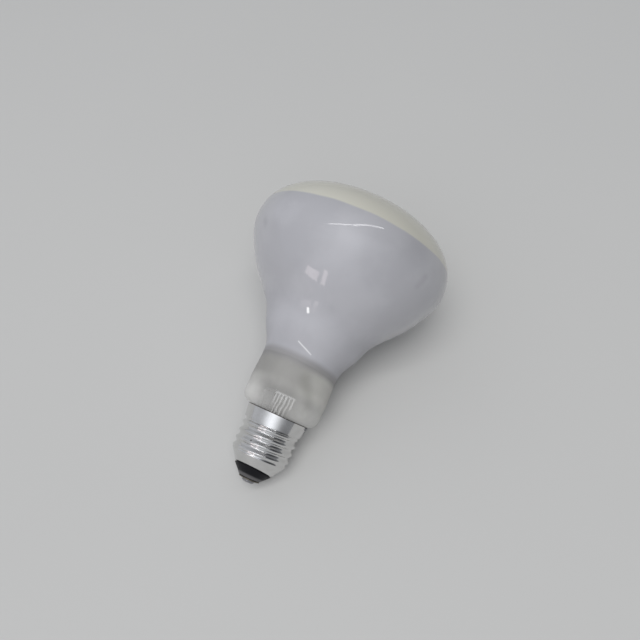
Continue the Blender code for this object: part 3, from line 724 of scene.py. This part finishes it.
def stem_glass():
    """Lead glass, drawn and pressed."""
    # To the eye: milky, glossy, with pale and dark lines along it that are partly painted
    # highlight and shade, and a painted highlight at its end.
    material, tree, shader, place = new_material("lead_glass_drawn_and_pressed")
    drawn = add_node(tree, "VectorMath", (place, (0.05, 1, 0.02)), operation="MULTIPLY")
    scale = math.pi / (10 * STRIA_SPACING)  # a Wave texture repeats every pi / (10 * scale)
    bands = {"Vector": drawn, "Scale": scale, "Distortion": 2, "Detail": 1}
    striae = add_node(tree, "TexWave", bands, output="Fac", bands_direction="Y")
    # The striae's pale and dark colours are partly painted highlight and shade.
    streak = add_node(tree, "MapRange", (striae, 0.2, 0.9), **SMOOTH)
    colour = add_node(tree, "Mix", (streak, "#6A6966", "#FFFFFF"), **COLOURS)
    height = add_node(tree, "SeparateXYZ", (place,), output="Z")
    # Painted highlight along the rounded end of the press.
    start, full = (press_top - drop for drop in PAINTED_END_HIGHLIGHT)
    end_highlight = add_node(tree, "MapRange", (height, start, full), **SMOOTH)
    bump = {"Height": striae, "Strength": 0.3, "Distance": 0.15 * MM}
    finish = {
        "Base Color": add_node(tree, "Mix", (end_highlight, colour, "#FFFFFF"), **COLOURS),
        "Roughness": 0.08,
        "IOR": 1.56,
        "Alpha": STEM_BODY,
        "Normal": add_node(tree, "Bump", bump),
    }
    set_inputs(tree, shader, finish)
    return material


clear_stem = stem_glass()
stem = loft("stem_flare_and_press", stem_sections(), 96)
install(stem, "glass_stem", "stem_glass", clear_stem)

# %% [markdown]
# ## The exhaust tube
# Air was pumped out through this thin tube in the middle of the stem, which was then melted
# shut. A closed profile, turned, gives its wall, its open top and the drawn-out tip below.

# %% Exhaust tube
EXHAUST_RADIUS = 1.85 * MM
EXHAUST_BORE = 1.25 * MM
TIP_HEIGHT = 13.5 * MM
TIP_LENGTH = 3.0 * MM
TIP_FULLNESS = 0.8  # 1 for a plain ellipse, less for a fuller tip


def tip_profile(radius, foot, length, samples=9):
    """Drawn-out tip: (radius, height) from full width down to a soft point on the axis."""
    points = []
    for turn in np.linspace(0, math.pi / 2, samples)[:-1]:
        height = foot + length * (1 - math.sin(turn))
        points.append((radius * math.cos(turn) ** TIP_FULLNESS, height))
    return [*points, (0.0, foot)]


tube_top = bore_top - GAP
outer = tip_profile(EXHAUST_RADIUS, TIP_HEIGHT, TIP_LENGTH)
hollow = tip_profile(EXHAUST_BORE, TIP_HEIGHT + TIP_LENGTH / 2, TIP_LENGTH)[::-1]
profile = [(EXHAUST_RADIUS, tube_top), *outer, *hollow, (EXHAUST_BORE, tube_top)]
exhaust = apply_modifiers(turned("exhaust_tube_tipped_off", profile, steps=48, closed=True))
install(exhaust, "exhaust_tube", "stem_glass", clear_stem)

# %% [markdown]
# ## Wires
# A bent wire could be an extruded mesh, but a curve with a round bevel keeps its section true
# through every bend. It runs through a few corners, as the bender's pins would set them.

# %% Wire helpers
def bent_path(corners, samples=8):
    """Points of a smooth curve through corners."""
    knots = [Vector(corner) for corner in corners]
    knots = [2 * knots[0] - knots[1], *knots, 2 * knots[-1] - knots[-2]]
    path = []
    for before, start, end, after in zip(knots, knots[1:], knots[2:], knots[3:]):
        for t in np.linspace(0, 1, samples, endpoint=False):
            bend = 2 * start + (end - before) * t
            bend += (2 * before - 5 * start + 4 * end - after) * t**2
            bend += (3 * start - before - 3 * end + after) * t**3
            path.append(bend / 2)
    path.append(knots[-2])
    return path


def wire(name, points, radius, roundness=4):
    """Round wire along points, as a welded mesh with closed ends."""
    curve = bpy.data.curves.new(name, "CURVE")
    curve.dimensions = "3D"
    curve.bevel_depth = radius
    curve.bevel_resolution = roundness
    curve.use_fill_caps = True
    spline = curve.splines.new("POLY")
    spline.points.add(len(points) - 1)
    for knot, point in zip(spline.points, points):
        knot.co = (*point, 1.0)
    print(f"{name}: {len(points)} points, {2 * radius / MM:.2f} mm thick")
    return apply_modifiers(add_object(name, curve), sharp=60)


# %% [markdown]
# ## Small metal parts
# Wires, solder and eyelet are small bare metals that differ in colour, dullness and grain. A
# flat grey would look like plastic. One noise, as wide as the metal's own grain or stain,
# drives colour, roughness and a shallow bump together, so the pale places are also the dull ones.

# %% Bare metal
def bare_metal(name, dark, light, roughness, grain):
    """Metal with a soft shine, and streaks and stains one grain wide."""
    material, tree, shader, place = new_material(name)
    stains = {"Vector": place, "Scale": 1 / grain, "Detail": 5}
    stain = add_node(tree, "TexNoise", stains)
    rough = (stain, 0.0, 1.0, roughness - 0.08, roughness + 0.12)
    bump = {"Height": stain, "Strength": 0.3, "Distance": 0.02 * MM}
    finish = {
        "Base Color": add_node(tree, "Mix", (stain, dark, light), **COLOURS),
        "Metallic": 1.0,
        "Roughness": add_node(tree, "MapRange", rough),
        "Normal": add_node(tree, "Bump", bump),
    }
    set_inputs(tree, shader, finish)
    return material


# Drawn nickel: a warm pale grey with a clean shine.
nickel = bare_metal("nickel_wire_drawn", "#8E8A84", "#C9C4BB", 0.3, 1.5 * MM)

# %% [markdown]
# ## The inner wires
# Two nickel wires stand in the press, spread outwards and carry the filament between their
# tips. They mirror each other, so one loop bends both.

# %% Inner wires of nickel
LEAD_RADIUS = 0.35 * MM
LEAD_SPACING = 6.4 * MM
LEAD_STRAIGHT = 3.0 * MM
LEAD_JOINT_DEPTH = 2.0 * MM
FILAMENT_HEIGHT = 88.0 * MM
FILAMENT_LENGTH = 20.0 * MM
lead_joint = press_top - LEAD_JOINT_DEPTH
lead_reach = FILAMENT_LENGTH / 2 + LEAD_RADIUS + GAP
for side, sign in (("left", 1), ("right", -1)):
    near = sign * LEAD_SPACING / 2
    far = sign * lead_reach
    corners = [
        (0, near, lead_joint + GAP),
        (0, near, press_top + LEAD_STRAIGHT),
        (0, (near + far) / 2, (press_top + FILAMENT_HEIGHT) / 2),
        (0, far, FILAMENT_HEIGHT - 3 * LEAD_STRAIGHT),
        (0, far, FILAMENT_HEIGHT + 2 * LEAD_RADIUS),
    ]
    lead = wire(f"support_wire_{side}", bent_path(corners), LEAD_RADIUS)
    install(lead, f"inner_lead_{side}", "nickel_wire", nickel)

# %% [markdown]
# ## The filament
# Tungsten wire is wound round a mandrel and hung between the two nickel wires. The real one is
# a coil of a coil with hundreds of turns. The coating hides it, so one helix with two straight
# legs is enough, drawn point by point and bevelled like the other wires.

# %% Filament of tungsten
COIL_TURNS = 40
COIL_POINTS = 14  # in each turn
COIL_RADIUS = 0.95 * MM
COIL_WIRE = 0.11 * MM
COIL_LEG = 1.6 * MM
# Coiled tungsten: dark grey and dull, because it has glowed.
tungsten = bare_metal("tungsten_wire_coiled", "#2B2B2D", "#5C5C60", 0.42, 0.4 * MM)
half = FILAMENT_LENGTH / 2
points = [(0, -half, FILAMENT_HEIGHT)]
for i in range(COIL_TURNS * COIL_POINTS + 1):
    turn = 2 * math.pi * i / COIL_POINTS
    along = (half - COIL_LEG) * (2 * i / (COIL_TURNS * COIL_POINTS) - 1)
    x, z = COIL_RADIUS * math.cos(turn), COIL_RADIUS * math.sin(turn)
    points.append((x, along, FILAMENT_HEIGHT + z))
points.append((0, half, FILAMENT_HEIGHT))
filament = wire("coiled_filament", points, COIL_WIRE, roundness=2)
install(filament, "filament", "tungsten_wire", tungsten)

# %% [markdown]
# ## The centre wire
# A copper wire runs from the press down beside the exhaust tube, turns in under the tube's tip
# and ends in the eyelet, where it is soldered. Its upper corners are shared with the side wire.

# %% Centre wire of copper
OUTER_RADIUS = 0.2 * MM
EYELET_TUBE = 3.2 * MM
# Drawn copper, long in the air: brown with a dull shine.
copper = bare_metal("copper_wire_drawn", "#84604C", "#B08A72", 0.3, 1.2 * MM)
tube_side = EXHAUST_RADIUS + 1.5 * GAP + OUTER_RADIUS
down_the_stem = [
    (lead_joint, LEAD_SPACING / 2),
    (bore_top - GAP, tube_side),
    (bore_top - LEAD_STRAIGHT, tube_side),
]
corners = [(0, y, z) for z, y in down_the_stem]
corners += [
    (0, tube_side, TIP_HEIGHT + TIP_LENGTH),
    (0, tube_side / 2, TIP_HEIGHT - 3 * OUTER_RADIUS - GAP),
    (0, 0, eyelet_foot + EYELET_TUBE),
    (0, 0, SOLDER_HEIGHT + GAP),
]
center = wire("center_contact_wire", bent_path(corners), OUTER_RADIUS)
install(center, "center_lead", "copper_wire", copper)

# %% [markdown]
# ## The screw cap
# The cap is one sheet of aluminium, drawn into a cup and then rolled, so the thread shows the
# same on both sides of a thin wall. A thread could be cut as a boolean, but a rolled one is the
# sheet itself moved in and out. So the turned blank is pushed along a helix that climbs one
# pitch a turn, and the sheet's thickness is added afterwards, as the real sheet keeps its own.

# %% Radii of the cap
PITCH = 25.4 / 7 * MM
CREST_RADIUS = 13.13 * MM
THREAD_DEPTH = 1.0 * MM
RIM_RADIUS = 8.6 * MM
COLLAR_FOOT_RADIUS = 13.3 * MM
COLLAR_RADIUS = 14.2 * MM
THREAD_FADE = 1.6 * MM
FIRST_CREST = 3.4 * MM  # above the thread's foot, on the side that faces the floor
MOUTH_ASKEW = 0.2  # rise of the mouth's edge for each unit towards the lamp's upper side


def cap_radius(height):
    """Outer radius of the blank: cone, thread at half its depth, collar."""
    if height < thread_foot:
        share = (height - cap_foot) / CAP_CONE
        return RIM_RADIUS + (CREST_RADIUS - THREAD_DEPTH / 2 - RIM_RADIUS) * share
    if height < thread_top:
        return CREST_RADIUS - THREAD_DEPTH / 2
    share = (height - thread_top) / CAP_COLLAR
    return COLLAR_FOOT_RADIUS + (COLLAR_RADIUS - COLLAR_FOOT_RADIUS) * share


def thread_push(height, angle):
    """How far the rolled thread moves the sheet outwards."""
    fade = smooth_step((height - thread_foot) / THREAD_FADE)
    fade = fade * smooth_step((thread_top - height) / THREAD_FADE)
    turns = (height - thread_foot - FIRST_CREST) / PITCH - angle / (2 * math.pi)
    return fade * THREAD_DEPTH / 2 * np.cos(2 * math.pi * turns)


def mouth_lift(x):
    """How much higher the edge between metal and black glass lies on the upper side."""
    return MOUTH_ASKEW * max(-x, 0.0)


print(f"thread of {CAP_THREAD / PITCH:.1f} turns, crest {2 * CREST_RADIUS / MM:.1f} mm across")

# %% [markdown]
# ## The screw cap: blank, notch and thread
# The rows of the blank lie closest in the thread, where its reflections break up if the mesh is
# coarse. The notch for the side wire is left out of the blank before it is rolled.

# %% Blank, notch and thread
CAP_STEPS = 200
SHEET = 0.4 * MM
SIDE_SOLDER_LENGTH = 1.5 * MM
SIDE_SOLDER_WIDTH = 1.4 * MM
notch_foot = cap_top - SIDE_SOLDER_LENGTH - GAP
half_notch = SIDE_SOLDER_WIDTH / 2 + GAP
heights = [
    *np.linspace(cap_top, notch_foot, 7)[:-1],  # collar beside the notch
    *np.linspace(notch_foot, thread_top, 12)[:-1],  # rest of the collar
    *np.linspace(thread_top, thread_foot, 170)[:-1],  # thread
    *np.linspace(thread_foot, cap_foot, 16),  # cone
]
shell = turned("screw_cap_shell", [(cap_radius(h), h) for h in heights], CAP_STEPS)
shell = apply_modifiers(shell, sharp=80)
shape = bmesh.new()
shape.from_mesh(shell.data)
gone = []
for face in shape.faces:
    middle = face.calc_center_median()
    if middle.y < 0 and abs(middle.x) < half_notch and middle.z > notch_foot:
        gone.append(face)
bmesh.ops.delete(shape, geom=gone, context="FACES")
for vertex in shape.verts:
    x, y, height = vertex.co
    radius = math.hypot(x, y)
    stretch = 1 + float(thread_push(height, math.atan2(y, x))) / radius
    if height < thread_foot:
        height += mouth_lift(x) * (thread_foot - height) / CAP_CONE
        stretch = cap_radius(height) / radius
    vertex.co = (x * stretch, y * stretch, height)
shape.to_mesh(shell.data)
shape.free()
add_wall(shell, SHEET)
shell = apply_modifiers(shell, sharp=60)
print(f"notch took {len(gone)} faces out of the collar")

# %% [markdown]
# ## Rolled aluminium
# Bright aluminium sheet is nearly a mirror, but the dies leave fine lines round it and the
# oxide film dulls it a little. The lines are a noise that changes fast along the axis and
# slowly round it: the position is squeezed before the noise reads it. They are really a few
# hundredths of a millimetre apart, and are drawn ten times coarser so that they show.

# %% Finish of the cap
LINE_SPACING = 0.3 * MM
ROUND_THE_CAP = 0.06  # how fast the lines change round it, with 1 for along it
STAIN_WIDTH = 4 * MM
CUT_EDGE = 0.35 * MM, 0.15 * MM  # below the collar's top, where its dull edge begins and is full
SPECK = ((-12.6 * MM, 3.1 * MM, 17.6 * MM), (-12.6 * MM, 3.1 * MM, 17.8 * MM))
SPECK_WIDTH = 0.7 * MM


def rolled_aluminium():
    """Bright aluminium sheet, drawn and rolled."""
    # To the eye: near-mirror with streaked highlights, a few stains and a dull cut edge.
    material, tree, shader, place = new_material("aluminium_sheet_drawn_and_rolled")
    squeeze = (ROUND_THE_CAP, ROUND_THE_CAP, 1.0)
    squeezed = add_node(tree, "VectorMath", (place, squeeze), operation="MULTIPLY")
    lines = {"Vector": squeezed, "Scale": 1 / LINE_SPACING, "Detail": 3}
    bump = {"Height": add_node(tree, "TexNoise", lines), "Strength": 0.2, "Distance": 0.01 * MM}
    stains = {"Vector": place, "Scale": 1 / STAIN_WIDTH, "Detail": 5}
    stain = add_node(tree, "TexNoise", stains)
    colour = add_node(tree, "Mix", (stain, "#C6C5C3", "#E6E6E6"), **COLOURS)
    height = add_node(tree, "SeparateXYZ", (place,), output="Z")
    start, full = (cap_top - drop for drop in CUT_EDGE)
    cut = add_node(tree, "MapRange", (height, start, full), **SMOOTH)
    speck = line_mark(tree, place, *SPECK, SPECK_WIDTH)
    dull = add_node(tree, "Math", (cut, speck), operation="MAXIMUM")
    finish = {
        "Base Color": add_node(tree, "Mix", (dull, colour, "#5E5954"), **COLOURS),
        "Metallic": 1.0,
        "Roughness": add_node(tree, "MapRange", (stain, 0.3, 0.7, 0.1, 0.17), **SMOOTH),
        "Normal": add_node(tree, "Bump", bump),
    }
    set_inputs(tree, shader, finish)
    return material


install(shell, "screw_shell", "cap_aluminium", rolled_aluminium())

# %% [markdown]
# ## The side wire
# The other copper wire comes out of the stem's flare, turns up between the seal and the cap and
# ends in the notch of the collar. It is bent like the centre wire, and its corners take their
# places from the pieces that it passes.

# %% Side wire of copper
CEMENT_DROP = 2.0 * MM
CEMENT_LENGTH = 3.2 * MM
clear = GAP + OUTER_RADIUS


def cap_bore(height):
    """Radius that is free inside the cap."""
    return cap_radius(height) - SHEET - GAP


groove_foot = cap_top - CEMENT_DROP - CEMENT_LENGTH / 2
corners = [(0, -y, z) for z, y in down_the_stem]
corners += [
    (0, -tube_side, seal_foot + 2 * MM),
    (0, -SEAL_RADIUS + 2 * GLASS_WALL, seal_foot - 2 * clear),
    (0, -SEAL_RADIUS - clear, seal_foot - clear),
    (0, -cap_bore(groove_foot) + clear / 2, groove_foot),
    (0, -cap_bore(notch_foot) + clear / 2, notch_foot),
]
side_wire = wire("side_contact_wire", bent_path(corners), OUTER_RADIUS)
install(side_wire, "side_lead", "copper_wire", copper)

# %% [markdown]
# ## The bead of solder
# A bead of tin joins the side wire to the collar. It is a drop that cooled where it lay, so it
# starts as a fine icosphere, which has no poles, stretched to the notch and sunk here and there
# by a cloud texture.

# %% Side wire's bead
SIDE_SOLDER_DEPTH = 1.2 * MM


def lumpy(piece, depth, size):
    """Sinks the surface here and there, as cooled solder does."""
    lumps = bpy.data.textures.new(f"{piece.name}_lumps", "CLOUDS")
    lumps.noise_scale = size
    sink = piece.modifiers.new("lumps", "DISPLACE")
    sink.texture = lumps
    sink.texture_coords = "LOCAL"
    sink.mid_level = 1.0
    sink.strength = depth
    return piece


# Cooled tin solder: satin grey, a little grainy.
tin = bare_metal("tin_solder_cooled", "#77777A", "#B0B0B4", 0.45, 0.8 * MM)
bead_y = -MOUTH_RADIUS - GAP - SIDE_SOLDER_DEPTH / 2
bead_place = Matrix.Translation((0, bead_y, cap_top - SIDE_SOLDER_LENGTH / 2))
bead_size = Matrix.Diagonal((SIDE_SOLDER_WIDTH, SIDE_SOLDER_DEPTH, SIDE_SOLDER_LENGTH, 1))
shape = bmesh.new()
bmesh.ops.create_icosphere(shape, subdivisions=4, radius=0.5, matrix=bead_place @ bead_size)
bead = add_object("side_wire_bead", mesh_from("side_wire_bead", shape))
bead = apply_modifiers(lumpy(bead, 0.2 * MM, 0.6 * MM))
install(bead, "side_solder", "solder", tin)

# %% [markdown]
# ## The cement
# Basing cement is a matt, coarse paste of marble dust and resin, baked between collar and
# glass. It is a closed profile, turned, with a groove that a boolean cuts for the side wire,
# as the wire would have pressed it into the paste.

# %% Cement
SAND_WIDTH = 0.5 * MM


def stone_paste():
    """Basing cement of marble dust and resin, baked."""
    # To the eye: matt tan, with the sandy grain of the dust.
    material, tree, shader, place = new_material("basing_cement_baked")
    sand = {"Vector": place, "Scale": 1 / SAND_WIDTH, "Detail": 6}
    grain = add_node(tree, "TexNoise", sand)
    bump = {"Height": grain, "Strength": 0.8, "Distance": 0.12 * MM}
    finish = {
        "Base Color": add_node(tree, "Mix", (grain, "#8A7A62", "#B3A38A"), **COLOURS),
        "Roughness": 0.9,
        "Normal": add_node(tree, "Bump", bump),
    }
    set_inputs(tree, shader, finish)
    return material


def seal_taper(height):
    """Outer radius of the bulb inside the cap."""
    share = (height - seal_foot) / SEAL_DROP
    return SEAL_RADIUS + (MOUTH_RADIUS - SEAL_RADIUS) * share


cement_top = cap_top - CEMENT_DROP
cement_foot = cement_top - CEMENT_LENGTH
profile = [
    (cap_bore(cement_top), cement_top),
    (cap_bore(cement_foot), cement_foot),
    (seal_taper(cement_foot) + GAP, cement_foot),
    (seal_taper(cement_top) + GAP, cement_top),
]
cement = apply_modifiers(turned("basing_cement_ring", profile, steps=144, closed=True))
groove_size = (2 * clear, 2 * (COLLAR_RADIUS - SEAL_RADIUS) + 2 * MM, 4 * CEMENT_LENGTH, 1)
groove_place = Matrix.Translation((0, -COLLAR_RADIUS, cement_foot)) @ Matrix.Diagonal(groove_size)
shape = bmesh.new()
bmesh.ops.create_cube(shape, size=1.0, matrix=groove_place)
groove = add_object("groove", mesh_from("groove", shape))
wire_way = cement.modifiers.new("wire_way", "BOOLEAN")
wire_way.operation = "DIFFERENCE"
wire_way.object = groove
cement = apply_modifiers(cement)
bpy.data.objects.remove(groove)
install(cement, "basing_cement", "cement", stone_paste())

# %% [markdown]
# ## Black glass at the end of the cap
# Black glass was poured into the mouth of the shell and pressed round a brass eyelet. It holds
# the contact and keeps it apart from the shell. Vitrite is nearly opaque, so a very dark base
# with a dull skin is enough, and no light has to be traced inside it.

# %% Vitrite
PIT_WIDTH = 0.7 * MM
GREY_FOOT = 0.9 * MM, 1.9 * MM  # above the button's foot, to where the grey is full and where it ends


def vitrite():
    """Black vitrite glass, pressed."""
    # To the eye: black and dull, faintly pitted, and grey over its foot.
    material, tree, shader, place = new_material("black_vitrite_glass_pressed")
    pits = add_node(tree, "TexNoise", {"Vector": place, "Scale": 1 / PIT_WIDTH, "Detail": 5})
    black = add_node(tree, "Mix", (pits, "#08080B", "#121217"), **COLOURS)
    full, end = (insulator_foot + rise for rise in GREY_FOOT)
    # The foot of the button turns grey.
    grey_foot = (uneven_height(tree, place), full, end, 1.0, 0.0)
    grey_foot = add_node(tree, "MapRange", grey_foot, **SMOOTH)
    bump = {"Height": pits, "Strength": 0.4, "Distance": 0.05 * MM}
    finish = {
        "Base Color": add_node(tree, "Mix", (grey_foot, black, "#565556"), **COLOURS),
        "Roughness": add_node(tree, "MapRange", (pits, 0.3, 0.7, 0.35, 0.55), **SMOOTH),
        "Specular IOR Level": 0.15,
        "Normal": add_node(tree, "Bump", bump),
    }
    set_inputs(tree, shader, finish)
    return material


black_glass = vitrite()

# %% [markdown]
# ## The black glass button
# Its closed profile has a plug inside the shell, a lip under the cap's edge, the cone that
# shows and the hole for the eyelet. After turning, the cone's upper edge is lifted with the
# mouth of the cap, and a small bevel rounds every edge, as a pressed one is.

# %% Black glass button
INSULATOR_EDGE_RADIUS = 8.35 * MM
PLUG_LENGTH = 3.2 * MM
DISH_WALL = 1.6 * MM
EYELET_RADIUS = 4.8 * MM
EYELET_TUBE_RADIUS = 1.5 * MM


def soft_edges(piece, width):
    """Rounds off a piece's edges, as moulding and handling leave them."""
    bevel = piece.modifiers.new("soft_edges", "BEVEL")
    bevel.width = width
    bevel.segments = 3
    bevel.angle_limit = math.radians(25)
    return piece


plug_top = cap_foot + PLUG_LENGTH
plug_neck = cap_bore(cap_foot) - GAP
eye = EYELET_TUBE_RADIUS + GAP
foot_radius = EYELET_RADIUS + GAP
profile = [
    (cap_bore(plug_top) - GAP, plug_top),
    (plug_neck, cap_foot),
    (plug_neck, insulator_edge),
    (INSULATOR_EDGE_RADIUS, insulator_edge),
    (INSULATOR_EDGE_RADIUS, insulator_edge - GAP),
    (foot_radius + GAP, insulator_foot + GAP),
    (foot_radius, insulator_foot),
    (eye, insulator_foot),
    (eye, insulator_foot + EYELET_TUBE - 2 * GAP),
    (cap_bore(plug_top) - DISH_WALL, plug_top),
]
insulator = apply_modifiers(turned("black_glass_button", profile, steps=144, closed=True))
cone_slope = (cap_radius(thread_foot - 0.001 * MM) - RIM_RADIUS) / CAP_CONE
for vertex in insulator.data.vertices:
    x, y, height = vertex.co
    radius = math.hypot(x, y)
    if radius > foot_radius and height < cap_foot - 0.1 * MM:
        lift = mouth_lift(x) * (height - insulator_foot) / INSULATOR_CONE
        stretch = 1 + cone_slope * lift / radius
        vertex.co = (x * stretch, y * stretch, height + lift)
insulator = apply_modifiers(soft_edges(insulator, 0.12 * MM))
install(insulator, "glass_insulator", "black_glass", black_glass)

# %% [markdown]
# ## The eyelet
# The centre contact's eyelet is a brass washer with a short tube, stamped from one disc. A
# closed profile, turned, gives both, and a bevel its rolled edges.

# %% Eyelet
# Stamped brass, tarnished in a drawer: grey-brown with hardly any gold left, and darker still as
# painted shade.
brass = bare_metal("brass_tarnished_and_painted_shade", "#6E6A62", "#9A9284", 0.45, 1.0 * MM)
inner = EYELET_TUBE_RADIUS - EYELET_THICKNESS
tube_end = eyelet_foot + EYELET_TUBE
profile = [
    (EYELET_TUBE_RADIUS, tube_end),
    (EYELET_TUBE_RADIUS, eyelet_foot + EYELET_THICKNESS),
    (EYELET_RADIUS, eyelet_foot + EYELET_THICKNESS),
    (EYELET_RADIUS, eyelet_foot),
    (inner, eyelet_foot),
    (inner, tube_end),
]
eyelet = apply_modifiers(turned("stamped_eyelet", profile, steps=96, closed=True))
eyelet = apply_modifiers(soft_edges(eyelet, 0.1 * MM))
install(eyelet, "contact_eyelet", "contact_brass", brass)

# %% [markdown]
# ## The drop of solder
# Tin closes the eyelet, and the holder's spring presses on its tip. A quarter of an ellipse
# down to a small flat, turned, is a drop that was touched flat while it set.

# %% Drop of solder
SOLDER_RADIUS = 3.0 * MM
SOLDER_FLAT = 1.6 * MM
profile = [(0.0, SOLDER_HEIGHT), (SOLDER_RADIUS, SOLDER_HEIGHT)]
for turn in np.linspace(0, math.pi / 2, 15)[1:]:
    radius = SOLDER_FLAT + (SOLDER_RADIUS - SOLDER_FLAT) * math.cos(turn)
    profile.append((radius, SOLDER_HEIGHT * (1 - math.sin(turn))))
profile += [(SOLDER_FLAT * share, 0.0) for share in np.linspace(1, 0, 8)[1:]]
drop = apply_modifiers(turned("centre_solder_drop", profile, steps=96))
drop = apply_modifiers(lumpy(drop, 0.12 * MM, 1.2 * MM))
install(drop, "center_solder", "solder", tin)

# %% [markdown]
# ## Light of the room
# The photo was taken in a pale room: brightest high up behind the camera, a little brighter low
# down ahead on the left, and dim on the right. A picture of a room could do it, but three soft
# glows in the world need no file and can be tuned one by one. Each falls off with a power of
# the cosine of the angle from its middle. The third takes light away: it multiplies the others.

# %% World
def direction(bearing, elevation):
    """Unit vector from degrees round from +Y towards +X and degrees above the horizon."""
    a, e = math.radians(bearing), math.radians(elevation)
    return Vector((math.sin(a) * math.cos(e), math.cos(a) * math.cos(e), math.sin(e)))


def glow(tree, look, bearing, elevation, narrowness, strength):
    """Light that fades away from one direction."""
    middle = direction(bearing, elevation)
    facing = add_node(tree, "VectorMath", (look, middle), operation="DOT_PRODUCT")
    ahead = add_node(tree, "Math", (facing, 0.0), operation="MAXIMUM")
    fade = add_node(tree, "Math", (ahead, narrowness), operation="POWER")
    return add_node(tree, "Math", (fade, strength), operation="MULTIPLY")


ROOM_LIGHT = 0.34
world = bpy.data.worlds.new("pale_room")
bpy.context.scene.world = world
world.use_nodes = True
tree = world.node_tree
look = add_node(tree, "TexCoord", (), output="Generated")
ceiling = glow(tree, look, bearing=-98, elevation=54, narrowness=8, strength=1.15)
far_wall = glow(tree, look, bearing=0, elevation=20, narrowness=1.5, strength=0.27)
light = add_node(tree, "Math", (ROOM_LIGHT, ceiling), operation="ADD")
light = add_node(tree, "Math", (light, far_wall), operation="ADD")
dim_side = glow(tree, look, bearing=155, elevation=38, narrowness=3.5, strength=0.95)
left_over = add_node(tree, "Math", (1.0, dim_side), operation="SUBTRACT")
light = add_node(tree, "Math", (light, left_over), operation="MULTIPLY")
set_inputs(tree, tree.nodes["Background"], {"Color": "#F6F9FF", "Strength": light})
print(f"room light {ROOM_LIGHT} with two glows and a dim side")

# %% [markdown]
# ## Lamps
# What the bulb's skin mirrors sharply has to be a real shape: a long tube overhead and the two
# panes of a window. The large round lamp is the brightest part of the ceiling, high up behind
# the camera, which gives the soft shadow. It would show as a white disc in the glass, so it is
# kept out of reflections.

# %% Lamps
def area_lamp(name, place, size, radiance, colour="#FFFFFF", shape="RECTANGLE", turn=None):
    """Lamp that the camera doesn't see. It faces the bulb unless a turn is given."""
    data = bpy.data.lights.new(name, "AREA")
    data.shape = shape
    data.size, data.size_y = size
    area = size[0] * size[1] * (math.pi / 4 if shape == "DISK" else 1)
    data.energy = radiance * math.pi * area
    data.color = linear(colour)[:3]
    made = add_object(name, data)
    made.location = place
    made.rotation_euler = turn or place.to_track_quat("Z", "Y").to_euler()
    made.visible_camera = False
    print(f"{name}: {data.energy:.2f} W")
    return made


ROOM = 2  # metres from the bulb to tube and window
CEILING = 2.2
PANES = {  # bearing, elevation, and width and height in metres
    "window_wide_pane": (-68, 8.2, (0.49, 0.34)),
    "window_narrow_pane": (-81.5, 11, (0.17, 0.54)),
}
for name, (bearing, elevation, size) in PANES.items():
    area_lamp(name, direction(bearing, elevation) * ROOM, size, radiance=2.5, colour="#FFF0F2")
tube_turn = (0, 0, math.radians(-48.4))
tube_place = Vector((0.065, -0.172, ROOM))
area_lamp("overhead_tube", tube_place, (2.56, 0.085), radiance=6, turn=tube_turn)
high_up = direction(-102, 71) * CEILING
ceiling_lamp = area_lamp("ceiling_light", high_up, (1.6, 1.6), 4.1, "#FFFEFB", shape="DISK")
ceiling_lamp.visible_glossy = False

# %% [markdown]
# ## Floor
# The bulb lies on a pale, matt board. A grid that reaches past the frame on every side has no
# edge to show, and its slow change of tone, 200 mm wide, keeps it from looking like a flat
# backdrop. It isn't part of the object, so it is only staged.

# %% Floor
FLOOR_HALF = 4.0  # metres
TONE_WIDTH = 0.2
shape = bmesh.new()
bmesh.ops.create_grid(shape, x_segments=1, y_segments=1, size=FLOOR_HALF)
floor = add_object("floor", mesh_from("floor", shape))


def matt_paint():
    """Emulsion paint on board, rolled."""
    # To the eye: even pale grey with no shine, so that only the shadow draws on it.
    material, tree, shader, place = new_material("matt_painted_board")
    tone = add_node(tree, "TexNoise", {"Vector": place, "Scale": 1 / TONE_WIDTH, "Detail": 3})
    colour = add_node(tree, "Mix", (tone, "#BBBBBA", "#BEBEBD"), **COLOURS)
    set_inputs(tree, shader, {"Base Color": colour, "Roughness": 0.8})
    return material


floor.data.materials.append(matt_paint())
